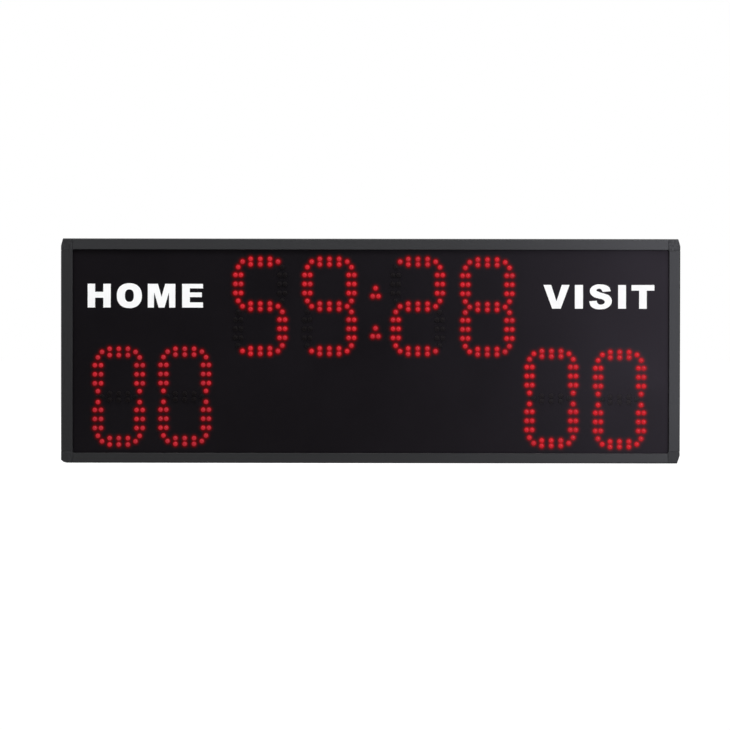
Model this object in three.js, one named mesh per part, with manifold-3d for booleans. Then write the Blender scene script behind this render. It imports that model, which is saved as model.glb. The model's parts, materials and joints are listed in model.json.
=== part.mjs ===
// An LED scoreboard for a sports hall: a clock of four digits over two pairs of score digits.
// Every lamp is a separate round LED that pokes through a black front panel in an aluminium frame.
// Millimetres, +Z up. The display looks along -Y, and X runs to the right of someone who reads it.
// The origin lies under the middle of the board. Inside the file, depths run back from the frame's front face.

import * as THREE from "three";
import { mergeVertices } from "three/addons/utils/BufferGeometryUtils.js";
import Module from "manifold-3d";

const wasm = await Module();
wasm.setup();

// Frame
const frameDepth = 45;
const bezelWidth = 14.2;
const capWidth = 15.2;
const railWall = 1.6;
const lipDepth = 4;
const lipWall = 1.5;
const outerBevel = 1.3;
const innerBevel = 1.3;
const ribThickness = 1.5;
const panelRibReach = 13;
const coverRibReach = 14;
const capWall = 3.5;
const capChamferRun = 2.8;
const capChamferDrop = 9.4;
const tongueLength = 28;
const tongueThickness = 3.1;
const tongueMargin = 3;

// Clearances
const fitGap = 0.3;
const seamGap = 0.25;
const cutOverrun = 1;
const joinDepth = 0.4;

// Front panel and back cover
const panelThickness = 3;
const coverThickness = 2;
const coverRecess = 0.2;
const sheetInset = 4;
const screwInset = 9.5;

// Lamps and the boards that carry them
const lampRadius = 2.6;
const lampSides = 5;
const screwSides = 6;
const lampHeight = 8.6;
const lampDome = 2.6;
const lampTipDepth = 0.9;
const lampPairHalf = 3.3;
const digitHalfWidth = 28.1;
const digitHalfHeight = 57.8;
const lampPitchAcross = 12.3;
const lampPitchDown = 11.7;
const cornerInset = 5.5;
const windowClearance = 0.4;
const windowWeb = 1.1;
const boardThickness = 1.6;
const boardMargin = 4;
const headerLength = 20;
const headerWidth = 8;
const headerHeight = 7;
const headerEdge = 0.5;
const pillarWidth = 4;

// How the digits sit. Margins and gaps run between the edges of the lamp boards and the frame's outer faces
const clockPitch = 89.4;
const homePitch = 86.4;
const visitPitch = 88.6;
const clockInnerPitch = 114.4;
const homeMargin = 36;
const homeGap = 21.5;
const visitGap = 7.2;
const visitMargin = 39.1;
const topMargin = 19.5;
const rowDrop = 117.7;
const bottomMargin = 17.4;
const colonOffsetX = 2;
const colonUpperZ = 18.2;
const colonLowerZ = -33.6;
const colonHalfWidth = 3.7;
const colonHalfHeight = 5.2;

// Hangers and wall pads
const hangerInsetX = 110;
const hangerReach = 30;
const hangerRadius = 9;
const hangerThickness = 2.5;
const hangerStandOff = 0.5;
const hangerHoleRadius = 4.6;
const pivotRadius = 2.5;
const pivotClearance = 0.45;
const pivotHeadRadius = 5.5;
const pivotHeadHeight = 1.5;
const pivotLength = 9;
const padRadius = 9;
const padInsetX = 60;
const padInsetZ = 42;

// Screws and vents of the back cover
const screwRadius = 1.7;
const screwClearance = 0.5;
const screwHeadRadius = 3.4;
const screwHeadHeight = 1.8;
const screwLength = 9;
const topScrewInset = 230;
const bottomScrewInset = 100;
const ventInset = 150;
const ventDrop = 95;
const ventCount = 8;
const ventPitch = 8;
const ventWidth = 3.2;
const ventHeight = 36;

// Mains inlet, its switch and its fuse drawer
const inletGap = 30.8;
const inletZ = 60;
const flangeWidth = 31;
const flangeHeight = 66;
const flangeThickness = 2.2;
const inletBodyWidth = 27.4;
const inletBodyHeight = 60;
const inletBodyDepth = 22;
const socketOffsetZ = -1;
const socketWidth = 24.6;
const socketHeight = 17;
const socketChamfer = 4;
const socketDepth = 17;
const pinSpacing = 7;
const pinOffsetZ = 2;
const pinWidth = 2;
const pinHeight = 4;
const pinRecess = 1.8;
const terminalLength = 8;
const rockerOffsetZ = 20.5;
const rockerPocketWidth = 19.8;
const rockerPocketHeight = 13;
const rockerPocketDepth = 15;
const rockerHalfLength = 8.8;
const rockerHalfHeight = 6.1;
const rockerPivotDepth = 5.5;
const rockerEndHeight = 6.2;
const rockerMiddleHeight = 4.4;
const rockerWaistHeight = 2.5;
const rockerFootHalf = 5;
const rockerFootDepth = 3.5;
const rockerTiltDegrees = 9;
const rockerPinRadius = 1.2;
const rockerPinReach = 1.2;
const drawerOffsetZ = -20;
const drawerHalfWidth = 12.3;
const drawerHalfHeight = 4.2;
const drawerPocketDepth = 20;
const drawerFrontThickness = 2.2;
const drawerTrayLength = 17;
const drawerGripHalfWidth = 4;
const drawerGripHeight = 2.4;
const drawerGripDepth = 1.1;
const fuseRadius = 2.6;
const fuseLength = 20;
const fuseDepth = 11.5;

// Power supply
const supplyGap = 19.5;
const supplyZ = 64;
const supplyLength = 110;
const supplyHalfWidth = 33;
const supplyDepth = 23;
const supplyWall = 1.2;
const supplyTrayHeight = 15;
const supplyBoardGap = 3.4;
const supplyPostWidth = 5;
const hoodSlotCount = 6;
const hoodSlotPitch = 15;
const hoodSlotWidth = 4;
const hoodSlotLength = 46;
const transformerSize = [32, 14, 26];
const heatSinkSize = [40, 13, 4];
const capacitorRadius = 7;
const capacitorHeight = 13;
const terminalBlockSize = [8, 10, 34];
const roundSides = 12;

// Control board
const controlGap = 40;
const controlZ = 75;
const controlHalfWidth = 50;
const controlHalfHeight = 40;
const controlStandOff = 6.5;
const controlPostWidth = 6;
const controlHeaderHeight = 8.5;
const powerBlockSize = [8, 9, 12];
const chipSize = [15, 2, 15];
const driverSize = [18, 3, 8];
const driverPitch = 24;
const radioSize = [16, 1, 26];
const radioPlinthHeight = 5;
const radioCanHeight = 2.2;
const cellRadius = 10;
const cellHeight = 3.2;
const cellHolderMargin = 1.5;
const cellSeatHeight = 2;
const buzzerRadius = 12;
const buzzerHeight = 9.5;
const buzzerHoleRadius = 2.5;
const buzzerHoleDepth = 3;

// Leads
const ribbonWidth = 17;
const ribbonThickness = 1.1;
const ribbonLowDepth = 10;
const jumperArch = 2.5;
const jumperStub = 1.2;
const wireRadius = 1.2;
const wireSides = 6;
const wireSteps = 14;

// Depths of the layers, from the front
const panelFront = lipDepth + fitGap;
const panelBack = panelFront + panelThickness;
const panelRibFront = panelBack + fitGap;
const panelRibBack = panelRibFront + ribThickness;
const boardFront = lampTipDepth + lampHeight;
const boardBack = boardFront + boardThickness;
const coverBack = frameDepth - coverRecess;
const coverFront = coverBack - coverThickness;
const coverRibBack = coverFront - fitGap;
const coverRibFront = coverRibBack - ribThickness;
const insideBack = coverFront - fitGap;
const outsideFront = coverBack + fitGap;
const hangerFront = coverBack + hangerStandOff;
const hangerBack = hangerFront + hangerThickness;
const overallDepth = hangerBack + fitGap + pivotHeadHeight;
const flangeBack = outsideFront + flangeThickness;
const headerDepth = boardBack + headerHeight / 2;

// The board's size, from its lamp boards and the room round them
const boardHalfWidth = digitHalfWidth + lampPairHalf + lampRadius + boardMargin;
const boardHalfHeight = digitHalfHeight + lampPairHalf + lampRadius + boardMargin;
const homeSpan = homePitch + 2 * boardHalfWidth;
const clockSpan = clockInnerPitch + 2 * clockPitch + 2 * boardHalfWidth;
const visitSpan = visitPitch + 2 * boardHalfWidth;
const boardWidth = homeMargin + homeSpan + homeGap + clockSpan + visitGap + visitSpan + visitMargin;
const scoreZ = bottomMargin + boardHalfHeight;
const clockZ = scoreZ + rowDrop;
const boardHeight = clockZ + boardHalfHeight + topMargin;

// Places worked out from the sizes above
const boardMiddleZ = boardHeight / 2;
const homeCentreX = homeMargin + homeSpan / 2 - boardWidth / 2;
const clockCentreX = homeCentreX + homeSpan / 2 + homeGap + clockSpan / 2;
const visitCentreX = boardWidth / 2 - visitMargin - visitSpan / 2;
const colonMiddleZ = (colonUpperZ + colonLowerZ) / 2;
const colonBoardHalfHeight = (colonUpperZ - colonLowerZ) / 2 + colonHalfHeight + lampRadius + boardMargin;
const colonBoardHalfWidth = colonHalfWidth + lampRadius + boardMargin;
const hangerX = boardWidth / 2 - hangerInsetX;
const hangerZ = boardHeight - screwInset;
const topScrewX = boardWidth / 2 - topScrewInset;
const bottomScrewX = boardWidth / 2 - bottomScrewInset;
const ventX = boardWidth / 2 - ventInset;
const ventZ = boardHeight - ventDrop;
const inletX = visitCentreX - visitSpan / 2 - inletGap - flangeWidth / 2;
const supplyX = inletX - flangeWidth / 2 - supplyGap - supplyLength / 2;
const controlX = supplyX - supplyLength / 2 - controlGap - controlHalfWidth;
const digits = [
  { name: "clock_minute_tens", x: clockCentreX - clockInnerPitch / 2 - clockPitch, z: clockZ },
  { name: "clock_minute_units", x: clockCentreX - clockInnerPitch / 2, z: clockZ },
  { name: "clock_second_tens", x: clockCentreX + clockInnerPitch / 2, z: clockZ },
  { name: "clock_second_units", x: clockCentreX + clockInnerPitch / 2 + clockPitch, z: clockZ },
  { name: "home_tens", x: homeCentreX - homePitch / 2, z: scoreZ },
  { name: "home_units", x: homeCentreX + homePitch / 2, z: scoreZ },
  { name: "visit_tens", x: visitCentreX - visitPitch / 2, z: scoreZ },
  { name: "visit_units", x: visitCentreX + visitPitch / 2, z: scoreZ },
];
const colonX = clockCentreX + colonOffsetX;
const coverScrews = [
  { x: -topScrewX, z: boardHeight - screwInset },
  { x: 0, z: boardHeight - screwInset },
  { x: topScrewX, z: boardHeight - screwInset },
  { x: -bottomScrewX, z: screwInset },
  { x: 0, z: screwInset },
  { x: bottomScrewX, z: screwInset },
  { x: screwInset - boardWidth / 2, z: boardMiddleZ },
  { x: boardWidth / 2 - screwInset, z: boardMiddleZ },
];

// Finishes
const finish = (color, roughness, metalness) =>
  new THREE.MeshStandardMaterial({ color, roughness, metalness, flatShading: true });
const railPaint = finish(0x323236, 0.45, 0.6);
const capPlastic = finish(0x343437, 0.7, 0);
const panelPlastic = finish(0x17161a, 0.35, 0);
const lampRed = finish(0xd0222f, 0.3, 0);
const coverPaint = finish(0x202124, 0.6, 0.3);
const zincSteel = finish(0xa9adb0, 0.35, 0.9);
const blackSteel = finish(0x1b1c1e, 0.4, 0.6);
const blackPlastic = finish(0x111214, 0.4, 0);
const rockerPlastic = finish(0x0d0d0f, 0.25, 0);
const nickel = finish(0xc5c3ba, 0.25, 1);
const fuseGlass = finish(0xcfd6d8, 0.1, 0);
const greenBoard = finish(0x14532d, 0.5, 0);
const amberBoard = finish(0xa27a3a, 0.55, 0);
const greyRibbon = finish(0x9a9ca0, 0.6, 0);
const brownWire = finish(0x5a3420, 0.5, 0);
const blueWire = finish(0x2450a8, 0.5, 0);
const earthWire = finish(0x6f9a2f, 0.5, 0);
const redWire = finish(0xa8201c, 0.5, 0);
const rubber = finish(0x151515, 0.9, 0);

// A closed geometry as a solid that can be cut and joined
function solidFrom(geometry) {
  const loose = geometry.index ? geometry.toNonIndexed() : geometry;
  const bare = new THREE.BufferGeometry();
  bare.setAttribute("position", loose.getAttribute("position"));
  const merged = mergeVertices(bare);
  return new wasm.Manifold(
    new wasm.Mesh({
      numProp: 3,
      vertProperties: merged.attributes.position.array,
      triVerts: new Uint32Array(merged.index.array),
    }),
  );
}

// A solid as a geometry that three.js can draw
function geometryFrom(solid) {
  const { vertProperties, triVerts } = solid.getMesh();
  const geometry = new THREE.BufferGeometry();
  geometry.setAttribute("position", new THREE.BufferAttribute(vertProperties, 3));
  geometry.setIndex(new THREE.BufferAttribute(triVerts, 1));
  return geometry;
}

const joined = (solids) => solids.reduce((whole, solid) => whole.add(solid));
const cutFrom = (solid, cuts) => cuts.reduce((rest, cut) => rest.subtract(cut), solid);

// A box between two values on each axis
function block([x0, x1], [y0, y1], [z0, z1]) {
  const geometry = new THREE.BoxGeometry(x1 - x0, y1 - y0, z1 - z0);
  geometry.translate((x0 + x1) / 2, (y0 + y1) / 2, (z0 + z1) / 2);
  return solidFrom(geometry);
}

const around = (middle, half) => [middle - half, middle + half];

function extrusion(outline, length) {
  const shape = new THREE.Shape(outline.map(([a, b]) => new THREE.Vector2(a, b)));
  return new THREE.ExtrudeGeometry(shape, { depth: length, bevelEnabled: false });
}

// An outline of (y, z) points carried along X
function prismAlongX(outline, [x0, x1]) {
  const turn = new THREE.Matrix4().makeBasis(
    new THREE.Vector3(0, 1, 0),
    new THREE.Vector3(0, 0, 1),
    new THREE.Vector3(1, 0, 0),
  );
  return solidFrom(extrusion(outline, x1 - x0).applyMatrix4(turn).translate(x0, 0, 0));
}

// An outline of (x, z) points carried back along Y
function prismAlongY(outline, [y0, y1]) {
  return solidFrom(extrusion(outline, y1 - y0).rotateX(Math.PI / 2).translate(0, y1, 0));
}

// An outline of (x, y) points carried up Z
function prismAlongZ(outline, [z0, z1]) {
  return solidFrom(extrusion(outline, z1 - z0).translate(0, 0, z0));
}

// A round bar whose axis runs along Y
function barAlongY(radius, sides, [y0, y1], x = 0, z = 0) {
  const geometry = new THREE.CylinderGeometry(radius, radius, y1 - y0, sides);
  return solidFrom(geometry.translate(x, (y0 + y1) / 2, z));
}

// A turned piece about the Y axis, from a profile of (radius, y) points with rising y
function turned(profile, sides) {
  return solidFrom(new THREE.LatheGeometry(profile.map(([r, y]) => new THREE.Vector2(r, y)), sides));
}

const scoreboard = new THREE.Group();
scoreboard.position.y = -overallDepth / 2;

function place(name, solid, material, x = 0, y = 0, z = 0, parent = scoreboard) {
  const mesh = new THREE.Mesh(geometryFrom(solid), material);
  mesh.name = name;
  mesh.position.set(x, y, z);
  parent.add(mesh);
  return mesh;
}

// The rail's section, as (depth, distance in from the outer face) points
const railSection = [
  [0, outerBevel],
  [0, bezelWidth - innerBevel],
  [innerBevel, bezelWidth],
  [lipDepth, bezelWidth],
  [lipDepth, bezelWidth - lipWall],
  [railWall, bezelWidth - lipWall],
  [railWall, railWall],
  [panelRibFront, railWall],
  [panelRibFront, panelRibReach],
  [panelRibBack, panelRibReach],
  [panelRibBack, railWall],
  [coverRibFront, railWall],
  [coverRibFront, coverRibReach],
  [coverRibBack, coverRibReach],
  [coverRibBack, railWall],
  [frameDepth, railWall],
  [frameDepth, 0],
  [outerBevel, 0],
];

// One rail, lying along X with its outer face at z = 0, with holes for the cover's screws
function railSolid(span, screwPlaces) {
  const half = span / 2 - capWidth - seamGap;
  const holes = screwPlaces.map(({ at, radius }) =>
    barAlongY(radius, screwSides, [coverRibFront - cutOverrun, coverRibBack + cutOverrun], at, screwInset),
  );
  return cutFrom(prismAlongX(railSection, [-half, half]), holes);
}

function addRails() {
  const screwHole = screwRadius + screwClearance;
  const pivotHole = pivotRadius + pivotClearance;
  const topPlaces = [-topScrewX, 0, topScrewX].map((at) => ({ at, radius: screwHole }));
  topPlaces.push({ at: -hangerX, radius: pivotHole }, { at: hangerX, radius: pivotHole });
  const bottomPlaces = [-bottomScrewX, 0, bottomScrewX].map((at) => ({ at, radius: screwHole }));
  const sidePlaces = [{ at: 0, radius: screwHole }];
  place("rail_bottom", railSolid(boardWidth, bottomPlaces), railPaint);
  const top = place("rail_top", railSolid(boardWidth, topPlaces), railPaint, 0, 0, boardHeight);
  top.rotation.y = Math.PI;
  const side = railSolid(boardHeight, sidePlaces);
  const left = place("rail_left", side, railPaint, -boardWidth / 2, 0, boardMiddleZ);
  left.rotation.y = Math.PI / 2;
  const right = place("rail_right", side, railPaint, boardWidth / 2, 0, boardMiddleZ);
  right.rotation.y = -Math.PI / 2;
}

// The moulded corner at the low left: outer faces at x = 0 and z = 0, tongues that enter the two rails
function cornerSolid() {
  const outline = [
    [capChamferRun, 0],
    [capWidth, 0],
    [capWidth, capWidth],
    [0, capWidth],
    [0, capChamferDrop],
  ];
  const inner = [capWall, capWidth + cutOverrun];
  const bevel = [
    [-cutOverrun, -cutOverrun],
    [outerBevel, -cutOverrun],
    [outerBevel, 0],
    [0, outerBevel],
    [-cutOverrun, outerBevel],
  ];
  const along = [-cutOverrun, capWidth + cutOverrun];
  const sideBevel = bevel.map(([depth, across]) => [across, depth]);
  const shell = cutFrom(prismAlongY(outline, [0, frameDepth]), [
    block(inner, [lipDepth, panelRibFront], inner),
    block(inner, [panelRibBack, coverRibFront], inner),
    block(inner, [coverRibBack, frameDepth + cutOverrun], inner),
    prismAlongX(bevel, along),
    prismAlongZ(sideBevel, along),
  ]);
  const across = [railWall + fitGap, railWall + fitGap + tongueThickness];
  const deep = [panelRibBack + tongueMargin, coverRibFront - tongueMargin];
  const reach = [capWall, capWidth + tongueLength];
  return joined([shell, block(reach, deep, across), block(across, deep, reach)]);
}

function addCorners() {
  const solid = cornerSolid();
  for (const [side, sx] of [["left", 1], ["right", -1]]) {
    for (const [level, sz] of [["bottom", 1], ["top", -1]]) {
      const z = sz > 0 ? 0 : boardHeight;
      const cap = place(`corner_${level}_${side}`, solid, capPlastic, (-sx * boardWidth) / 2, 0, z);
      cap.scale.set(sx, 1, sz);
    }
  }
}

// Lamp centres of one segment: three pairs and a single lamp at each end
function segmentLamps(pitch, endReach) {
  const lamps = [[-endReach, 0], [endReach, 0]];
  for (const along of [-pitch, 0, pitch]) {
    lamps.push([along, -lampPairHalf], [along, lampPairHalf]);
  }
  return lamps;
}

// The routed window round one segment's lamps
function segmentWindow(pitch, endReach) {
  const rim = lampRadius + windowClearance;
  const wide = lampPairHalf + rim;
  const shoulder = pitch + rim;
  const tip = endReach + rim;
  return [
    [-shoulder, -wide],
    [shoulder, -wide],
    [tip, -rim],
    [tip, rim],
    [shoulder, wide],
    [-shoulder, wide],
    [-tip, rim],
    [-tip, -rim],
  ];
}

// The seven segments of a digit. Each gives its centre, whether it stands up, and its lamp spacing
function digitSegments() {
  const halfSegment = digitHalfHeight / 2;
  const endDrop = 2 * (lampRadius + windowClearance) + windowWeb;
  const level = { upright: false, pitch: lampPitchAcross, endReach: digitHalfWidth - cornerInset };
  const upright = { upright: true, pitch: lampPitchDown, endReach: halfSegment - endDrop };
  const segments = [-digitHalfHeight, 0, digitHalfHeight].map((z) => ({ x: 0, z, ...level }));
  for (const x of [-digitHalfWidth, digitHalfWidth]) {
    for (const z of [-halfSegment, halfSegment]) {
      segments.push({ x, z, ...upright });
    }
  }
  return segments;
}

// Moves a segment's own (along, across) points to the digit's (x, z)
function onSegment(segment, points) {
  return points.map(([along, across]) =>
    segment.upright ? [segment.x + across, segment.z + along] : [segment.x + along, segment.z + across],
  );
}

const digitLamps = () =>
  digitSegments().flatMap((s) => onSegment(s, segmentLamps(s.pitch, s.endReach)));

// A colon's two dots are triangles of three lamps
const colonLamps = () =>
  [colonUpperZ, colonLowerZ].flatMap((z) => [
    [0, z + colonHalfHeight],
    [-colonHalfWidth, z - colonHalfHeight],
    [colonHalfWidth, z - colonHalfHeight],
  ]);

function colonWindow(z) {
  const rim = lampRadius + windowClearance;
  const wide = colonHalfWidth + rim;
  return [
    [-wide, z - colonHalfHeight - rim],
    [wide, z - colonHalfHeight - rim],
    [wide, z - colonHalfHeight + rim],
    [rim, z + colonHalfHeight + rim],
    [-rim, z + colonHalfHeight + rim],
    [-wide, z - colonHalfHeight + rim],
  ];
}

// A bullet-nosed lamp at (x, z), standing on the board and pointing forward
function lampSolid([x, z]) {
  const profile = [
    [0, lampTipDepth],
    [lampRadius, lampTipDepth + lampDome],
    [lampRadius, boardFront + joinDepth],
    [0, boardFront + joinDepth],
  ];
  return turned(profile, lampSides).translate([x, 0, z]);
}

// Sockets for the ribbon leads, on the back of a lamp board
function sideHeader(halfWidth, side) {
  const outer = halfWidth - headerEdge;
  const span = side > 0 ? [outer - headerWidth, outer] : [-outer, headerWidth - outer];
  return block(span, [boardBack - joinDepth, boardBack + headerHeight], around(0, headerLength / 2));
}

function footHeader(halfHeight) {
  const low = headerEdge - halfHeight;
  return block(
    around(0, headerLength / 2),
    [boardBack - joinDepth, boardBack + headerHeight],
    [low, low + headerWidth],
  );
}

function addLampBoards() {
  const plate = block(around(0, boardHalfWidth), [boardFront, boardBack], around(0, boardHalfHeight));
  const headers = [sideHeader(boardHalfWidth, -1), sideHeader(boardHalfWidth, 1), footHeader(boardHalfHeight)];
  const digit = joined([plate, ...digitLamps().map(lampSolid), ...headers]);
  for (const { name, x, z } of digits) {
    place(`lamps_${name}`, digit, lampRed, x, 0, z);
  }
  const colonPlate = block(
    around(0, colonBoardHalfWidth),
    [boardFront, boardBack],
    around(colonMiddleZ, colonBoardHalfHeight),
  );
  const colonHeader = block(
    around(0, colonBoardHalfWidth - headerEdge),
    [boardBack - joinDepth, boardBack + headerHeight],
    around(0, headerLength / 2),
  );
  const colon = joined([colonPlate, ...colonLamps().map(lampSolid), colonHeader]);
  place("lamps_clock_colon", colon, lampRed, colonX, 0, clockZ);
}

// The front panel, with its windows and the pillars that the lamp boards are fixed to
function addPanel() {
  const plate = block(
    around(0, boardWidth / 2 - sheetInset),
    [panelFront, panelBack],
    [sheetInset, boardHeight - sheetInset],
  );
  const through = [panelFront - cutOverrun, panelBack + cutOverrun];
  const digitWindows = digitSegments().map((s) =>
    prismAlongY(onSegment(s, segmentWindow(s.pitch, s.endReach)), through),
  );
  const windows = digits.flatMap(({ x, z }) => digitWindows.map((cut) => cut.translate([x, 0, z])));
  for (const z of [colonUpperZ, colonLowerZ]) {
    windows.push(prismAlongY(colonWindow(z), through).translate([colonX, 0, clockZ]));
  }
  const pillar = block(
    around(0, pillarWidth / 2),
    [panelBack - joinDepth, boardFront - fitGap],
    around(0, pillarWidth / 2),
  );
  const pillarX = boardHalfWidth - pillarWidth / 2;
  const pillarZ = boardHalfHeight - pillarWidth / 2;
  const pillars = digits.flatMap(({ x, z }) =>
    [[-pillarX, -pillarZ], [pillarX, -pillarZ], [-pillarX, pillarZ], [pillarX, pillarZ]].map(
      ([dx, dz]) => pillar.translate([x + dx, 0, z + dz]),
    ),
  );
  for (const dz of around(colonMiddleZ, colonBoardHalfHeight - pillarWidth / 2)) {
    pillars.push(pillar.translate([colonX, 0, clockZ + dz]));
  }
  place("face_panel", joined([cutFrom(plate, windows), ...pillars]), panelPlastic);
}

function addCover() {
  const plate = block(
    around(0, boardWidth / 2 - sheetInset),
    [coverFront, coverBack],
    [sheetInset, boardHeight - sheetInset],
  );
  const through = [coverFront - cutOverrun, coverBack + cutOverrun];
  const cuts = coverScrews.map(({ x, z }) => barAlongY(screwRadius + screwClearance, screwSides, through, x, z));
  for (const x of [-hangerX, hangerX]) {
    cuts.push(barAlongY(pivotRadius + pivotClearance, screwSides, through, x, hangerZ));
    const bankX = Math.sign(x) * ventX;
    for (let i = 0; i < ventCount; i += 1) {
      const slotX = bankX + (i - (ventCount - 1) / 2) * ventPitch;
      cuts.push(block(around(slotX, ventWidth / 2), through, around(ventZ, ventHeight / 2)));
    }
  }
  cuts.push(
    block(
      around(inletX, inletBodyWidth / 2 + fitGap),
      through,
      around(inletZ, inletBodyHeight / 2 + fitGap),
    ),
  );
  place("back_cover", cutFrom(plate, cuts), coverPaint);
}

// A pan-headed screw with its head's underside at y = 0, pointing forward
function screwSolid(radius, length, headRadius, headHeight, sides) {
  const profile = [
    [0, -length],
    [radius, -length],
    [radius, 0],
    [headRadius, 0],
    [headRadius, headHeight],
    [0, headHeight],
  ];
  return turned(profile, sides);
}

function addScrews() {
  const solid = screwSolid(screwRadius, screwLength, screwHeadRadius, screwHeadHeight, screwSides);
  coverScrews.forEach(({ x, z }, i) => {
    place(`cover_screw_${i + 1}`, solid, zincSteel, x, outsideFront, z);
  });
}

// A slotted hanging plate, built about its pivot and hanging straight down
function hangerSolid() {
  const arc = (middleZ, from) =>
    Array.from({ length: roundSides / 2 + 1 }, (_, i) => {
      const angle = from + (i * Math.PI * 2) / roundSides;
      return [hangerRadius * Math.cos(angle), middleZ + hangerRadius * Math.sin(angle)];
    });
  const outline = [...arc(0, 0), ...arc(-hangerReach, Math.PI)];
  const through = [-cutOverrun, hangerThickness + cutOverrun];
  return cutFrom(prismAlongY(outline, [0, hangerThickness]), [
    barAlongY(pivotRadius + pivotClearance, roundSides, through),
    barAlongY(hangerHoleRadius, roundSides, through, 0, -hangerReach),
  ]);
}

function addHangers() {
  const hanger = hangerSolid();
  const pivot = screwSolid(pivotRadius, pivotLength, pivotHeadRadius, pivotHeadHeight, roundSides);
  const pad = barAlongY(padRadius, roundSides, [outsideFront, overallDepth]);
  for (const [side, sign] of [["left", -1], ["right", 1]]) {
    place(`hanger_${side}`, hanger, zincSteel, sign * hangerX, hangerFront, hangerZ);
    place(`hanger_pivot_${side}`, pivot, blackSteel, sign * hangerX, hangerBack + fitGap, hangerZ);
    place(`wall_pad_${side}`, pad, rubber, sign * (boardWidth / 2 - padInsetX), 0, padInsetZ);
  }
}

// The inlet's housing, built about the middle of its flange with the flange's outer face at y = 0
function inletHousing() {
  const flange = block(around(0, flangeWidth / 2), [-flangeThickness, 0], around(0, flangeHeight / 2));
  const body = block(
    around(0, inletBodyWidth / 2),
    [-inletBodyDepth, -flangeThickness / 2],
    around(0, inletBodyHeight / 2),
  );
  const halfSocket = socketWidth / 2;
  const socketLow = socketOffsetZ - socketHeight / 2;
  const socketHigh = socketOffsetZ + socketHeight / 2;
  const socket = [
    [-halfSocket, socketLow],
    [halfSocket, socketLow],
    [halfSocket, socketHigh - socketChamfer],
    [halfSocket - socketChamfer, socketHigh],
    [socketChamfer - halfSocket, socketHigh],
    [-halfSocket, socketHigh - socketChamfer],
  ];
  const rockerPocket = block(
    around(0, rockerPocketWidth / 2),
    [-rockerPocketDepth, cutOverrun],
    around(rockerOffsetZ, rockerPocketHeight / 2),
  );
  const rockerSeat = prismAlongZ(
    circleOutline(rockerPinRadius + fitGap, -rockerPivotDepth),
    around(rockerOffsetZ, rockerHalfHeight + rockerPinReach + fitGap),
  );
  const drawerPocket = block(
    around(0, drawerHalfWidth + fitGap),
    [-drawerPocketDepth, cutOverrun],
    around(drawerOffsetZ, drawerHalfHeight + fitGap),
  );
  const slots = pinPlaces().map(({ x, z }) =>
    block(
      around(x, pinWidth / 2 + fitGap),
      [-inletBodyDepth - cutOverrun, cutOverrun - socketDepth],
      around(z, pinHeight / 2 + fitGap),
    ),
  );
  return cutFrom(joined([flange, body]), [
    prismAlongY(socket, [-socketDepth, cutOverrun]),
    rockerPocket,
    rockerSeat,
    drawerPocket,
    ...slots,
  ]);
}

// Points round a circle in the (x, y) plane
function circleOutline(radius, middleY) {
  return Array.from({ length: roundSides }, (_, i) => {
    const angle = (i * Math.PI * 2) / roundSides;
    return [radius * Math.cos(angle), middleY + radius * Math.sin(angle)];
  });
}

function pinPlaces() {
  return [
    { name: "inlet_pin_live", x: -pinSpacing, z: socketOffsetZ - pinOffsetZ },
    { name: "inlet_pin_earth", x: 0, z: socketOffsetZ + pinOffsetZ },
    { name: "inlet_pin_neutral", x: pinSpacing, z: socketOffsetZ - pinOffsetZ },
  ];
}

// The rocker in its middle position, about its pivot
function rockerSolid() {
  const outline = [
    [-rockerFootHalf, -rockerFootDepth],
    [rockerFootHalf, -rockerFootDepth],
    [rockerHalfLength, rockerWaistHeight],
    [rockerHalfLength, rockerEndHeight],
    [0, rockerMiddleHeight],
    [-rockerHalfLength, rockerEndHeight],
    [-rockerHalfLength, rockerWaistHeight],
  ];
  const pins = prismAlongZ(circleOutline(rockerPinRadius, 0), around(0, rockerHalfHeight + rockerPinReach));
  return joined([prismAlongZ(outline, around(0, rockerHalfHeight)), pins]);
}

// The fuse drawer, with its outer face at y = 0 and a trough across it for the fuse
function drawerSolid() {
  const front = block(around(0, drawerHalfWidth), [-drawerFrontThickness, 0], around(0, drawerHalfHeight));
  const trayHalfWidth = drawerHalfWidth - fitGap;
  const trayHalfHeight = drawerHalfHeight - fitGap;
  const tray = block(
    around(0, trayHalfWidth),
    [-drawerTrayLength, -drawerFrontThickness / 2],
    around(0, trayHalfHeight),
  );
  const trough = block(
    around(0, fuseLength / 2 + fitGap),
    around(-fuseDepth, fuseRadius + fitGap),
    [-fuseRadius - fitGap, trayHalfHeight + cutOverrun],
  );
  const grip = block(
    around(0, drawerGripHalfWidth),
    [-drawerGripDepth, cutOverrun],
    [drawerHalfHeight - drawerGripHeight, drawerHalfHeight + cutOverrun],
  );
  return cutFrom(joined([front, tray]), [trough, grip]);
}

function addInlet() {
  const inlet = new THREE.Group();
  inlet.position.set(inletX, flangeBack, inletZ);
  scoreboard.add(inlet);
  place("inlet_housing", inletHousing(), blackPlastic, 0, 0, 0, inlet);
  const pinDepths = [-inletBodyDepth - terminalLength, -pinRecess];
  const pin = block(around(0, pinWidth / 2), pinDepths, around(0, pinHeight / 2));
  for (const { name, x, z } of pinPlaces()) {
    place(name, pin, nickel, x, 0, z, inlet);
  }
  const rocker = place("power_rocker", rockerSolid(), rockerPlastic, 0, -rockerPivotDepth, rockerOffsetZ, inlet);
  rocker.rotation.z = THREE.MathUtils.degToRad(rockerTiltDegrees);
  place("fuse_drawer", drawerSolid(), blackPlastic, 0, 0, drawerOffsetZ, inlet);
  const fuse = barAlongY(fuseRadius, roundSides, around(0, fuseLength / 2));
  const fuseMesh = place("fuse", fuse, fuseGlass, 0, -fuseDepth, drawerOffsetZ, inlet);
  fuseMesh.rotation.z = Math.PI / 2;
}

// A box that stands forward from a board whose front face is at the given depth
function standing([width, height, length], boardFace, x, z) {
  return block(around(x, width / 2), [boardFace - height, boardFace + joinDepth], around(z, length / 2));
}

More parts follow.
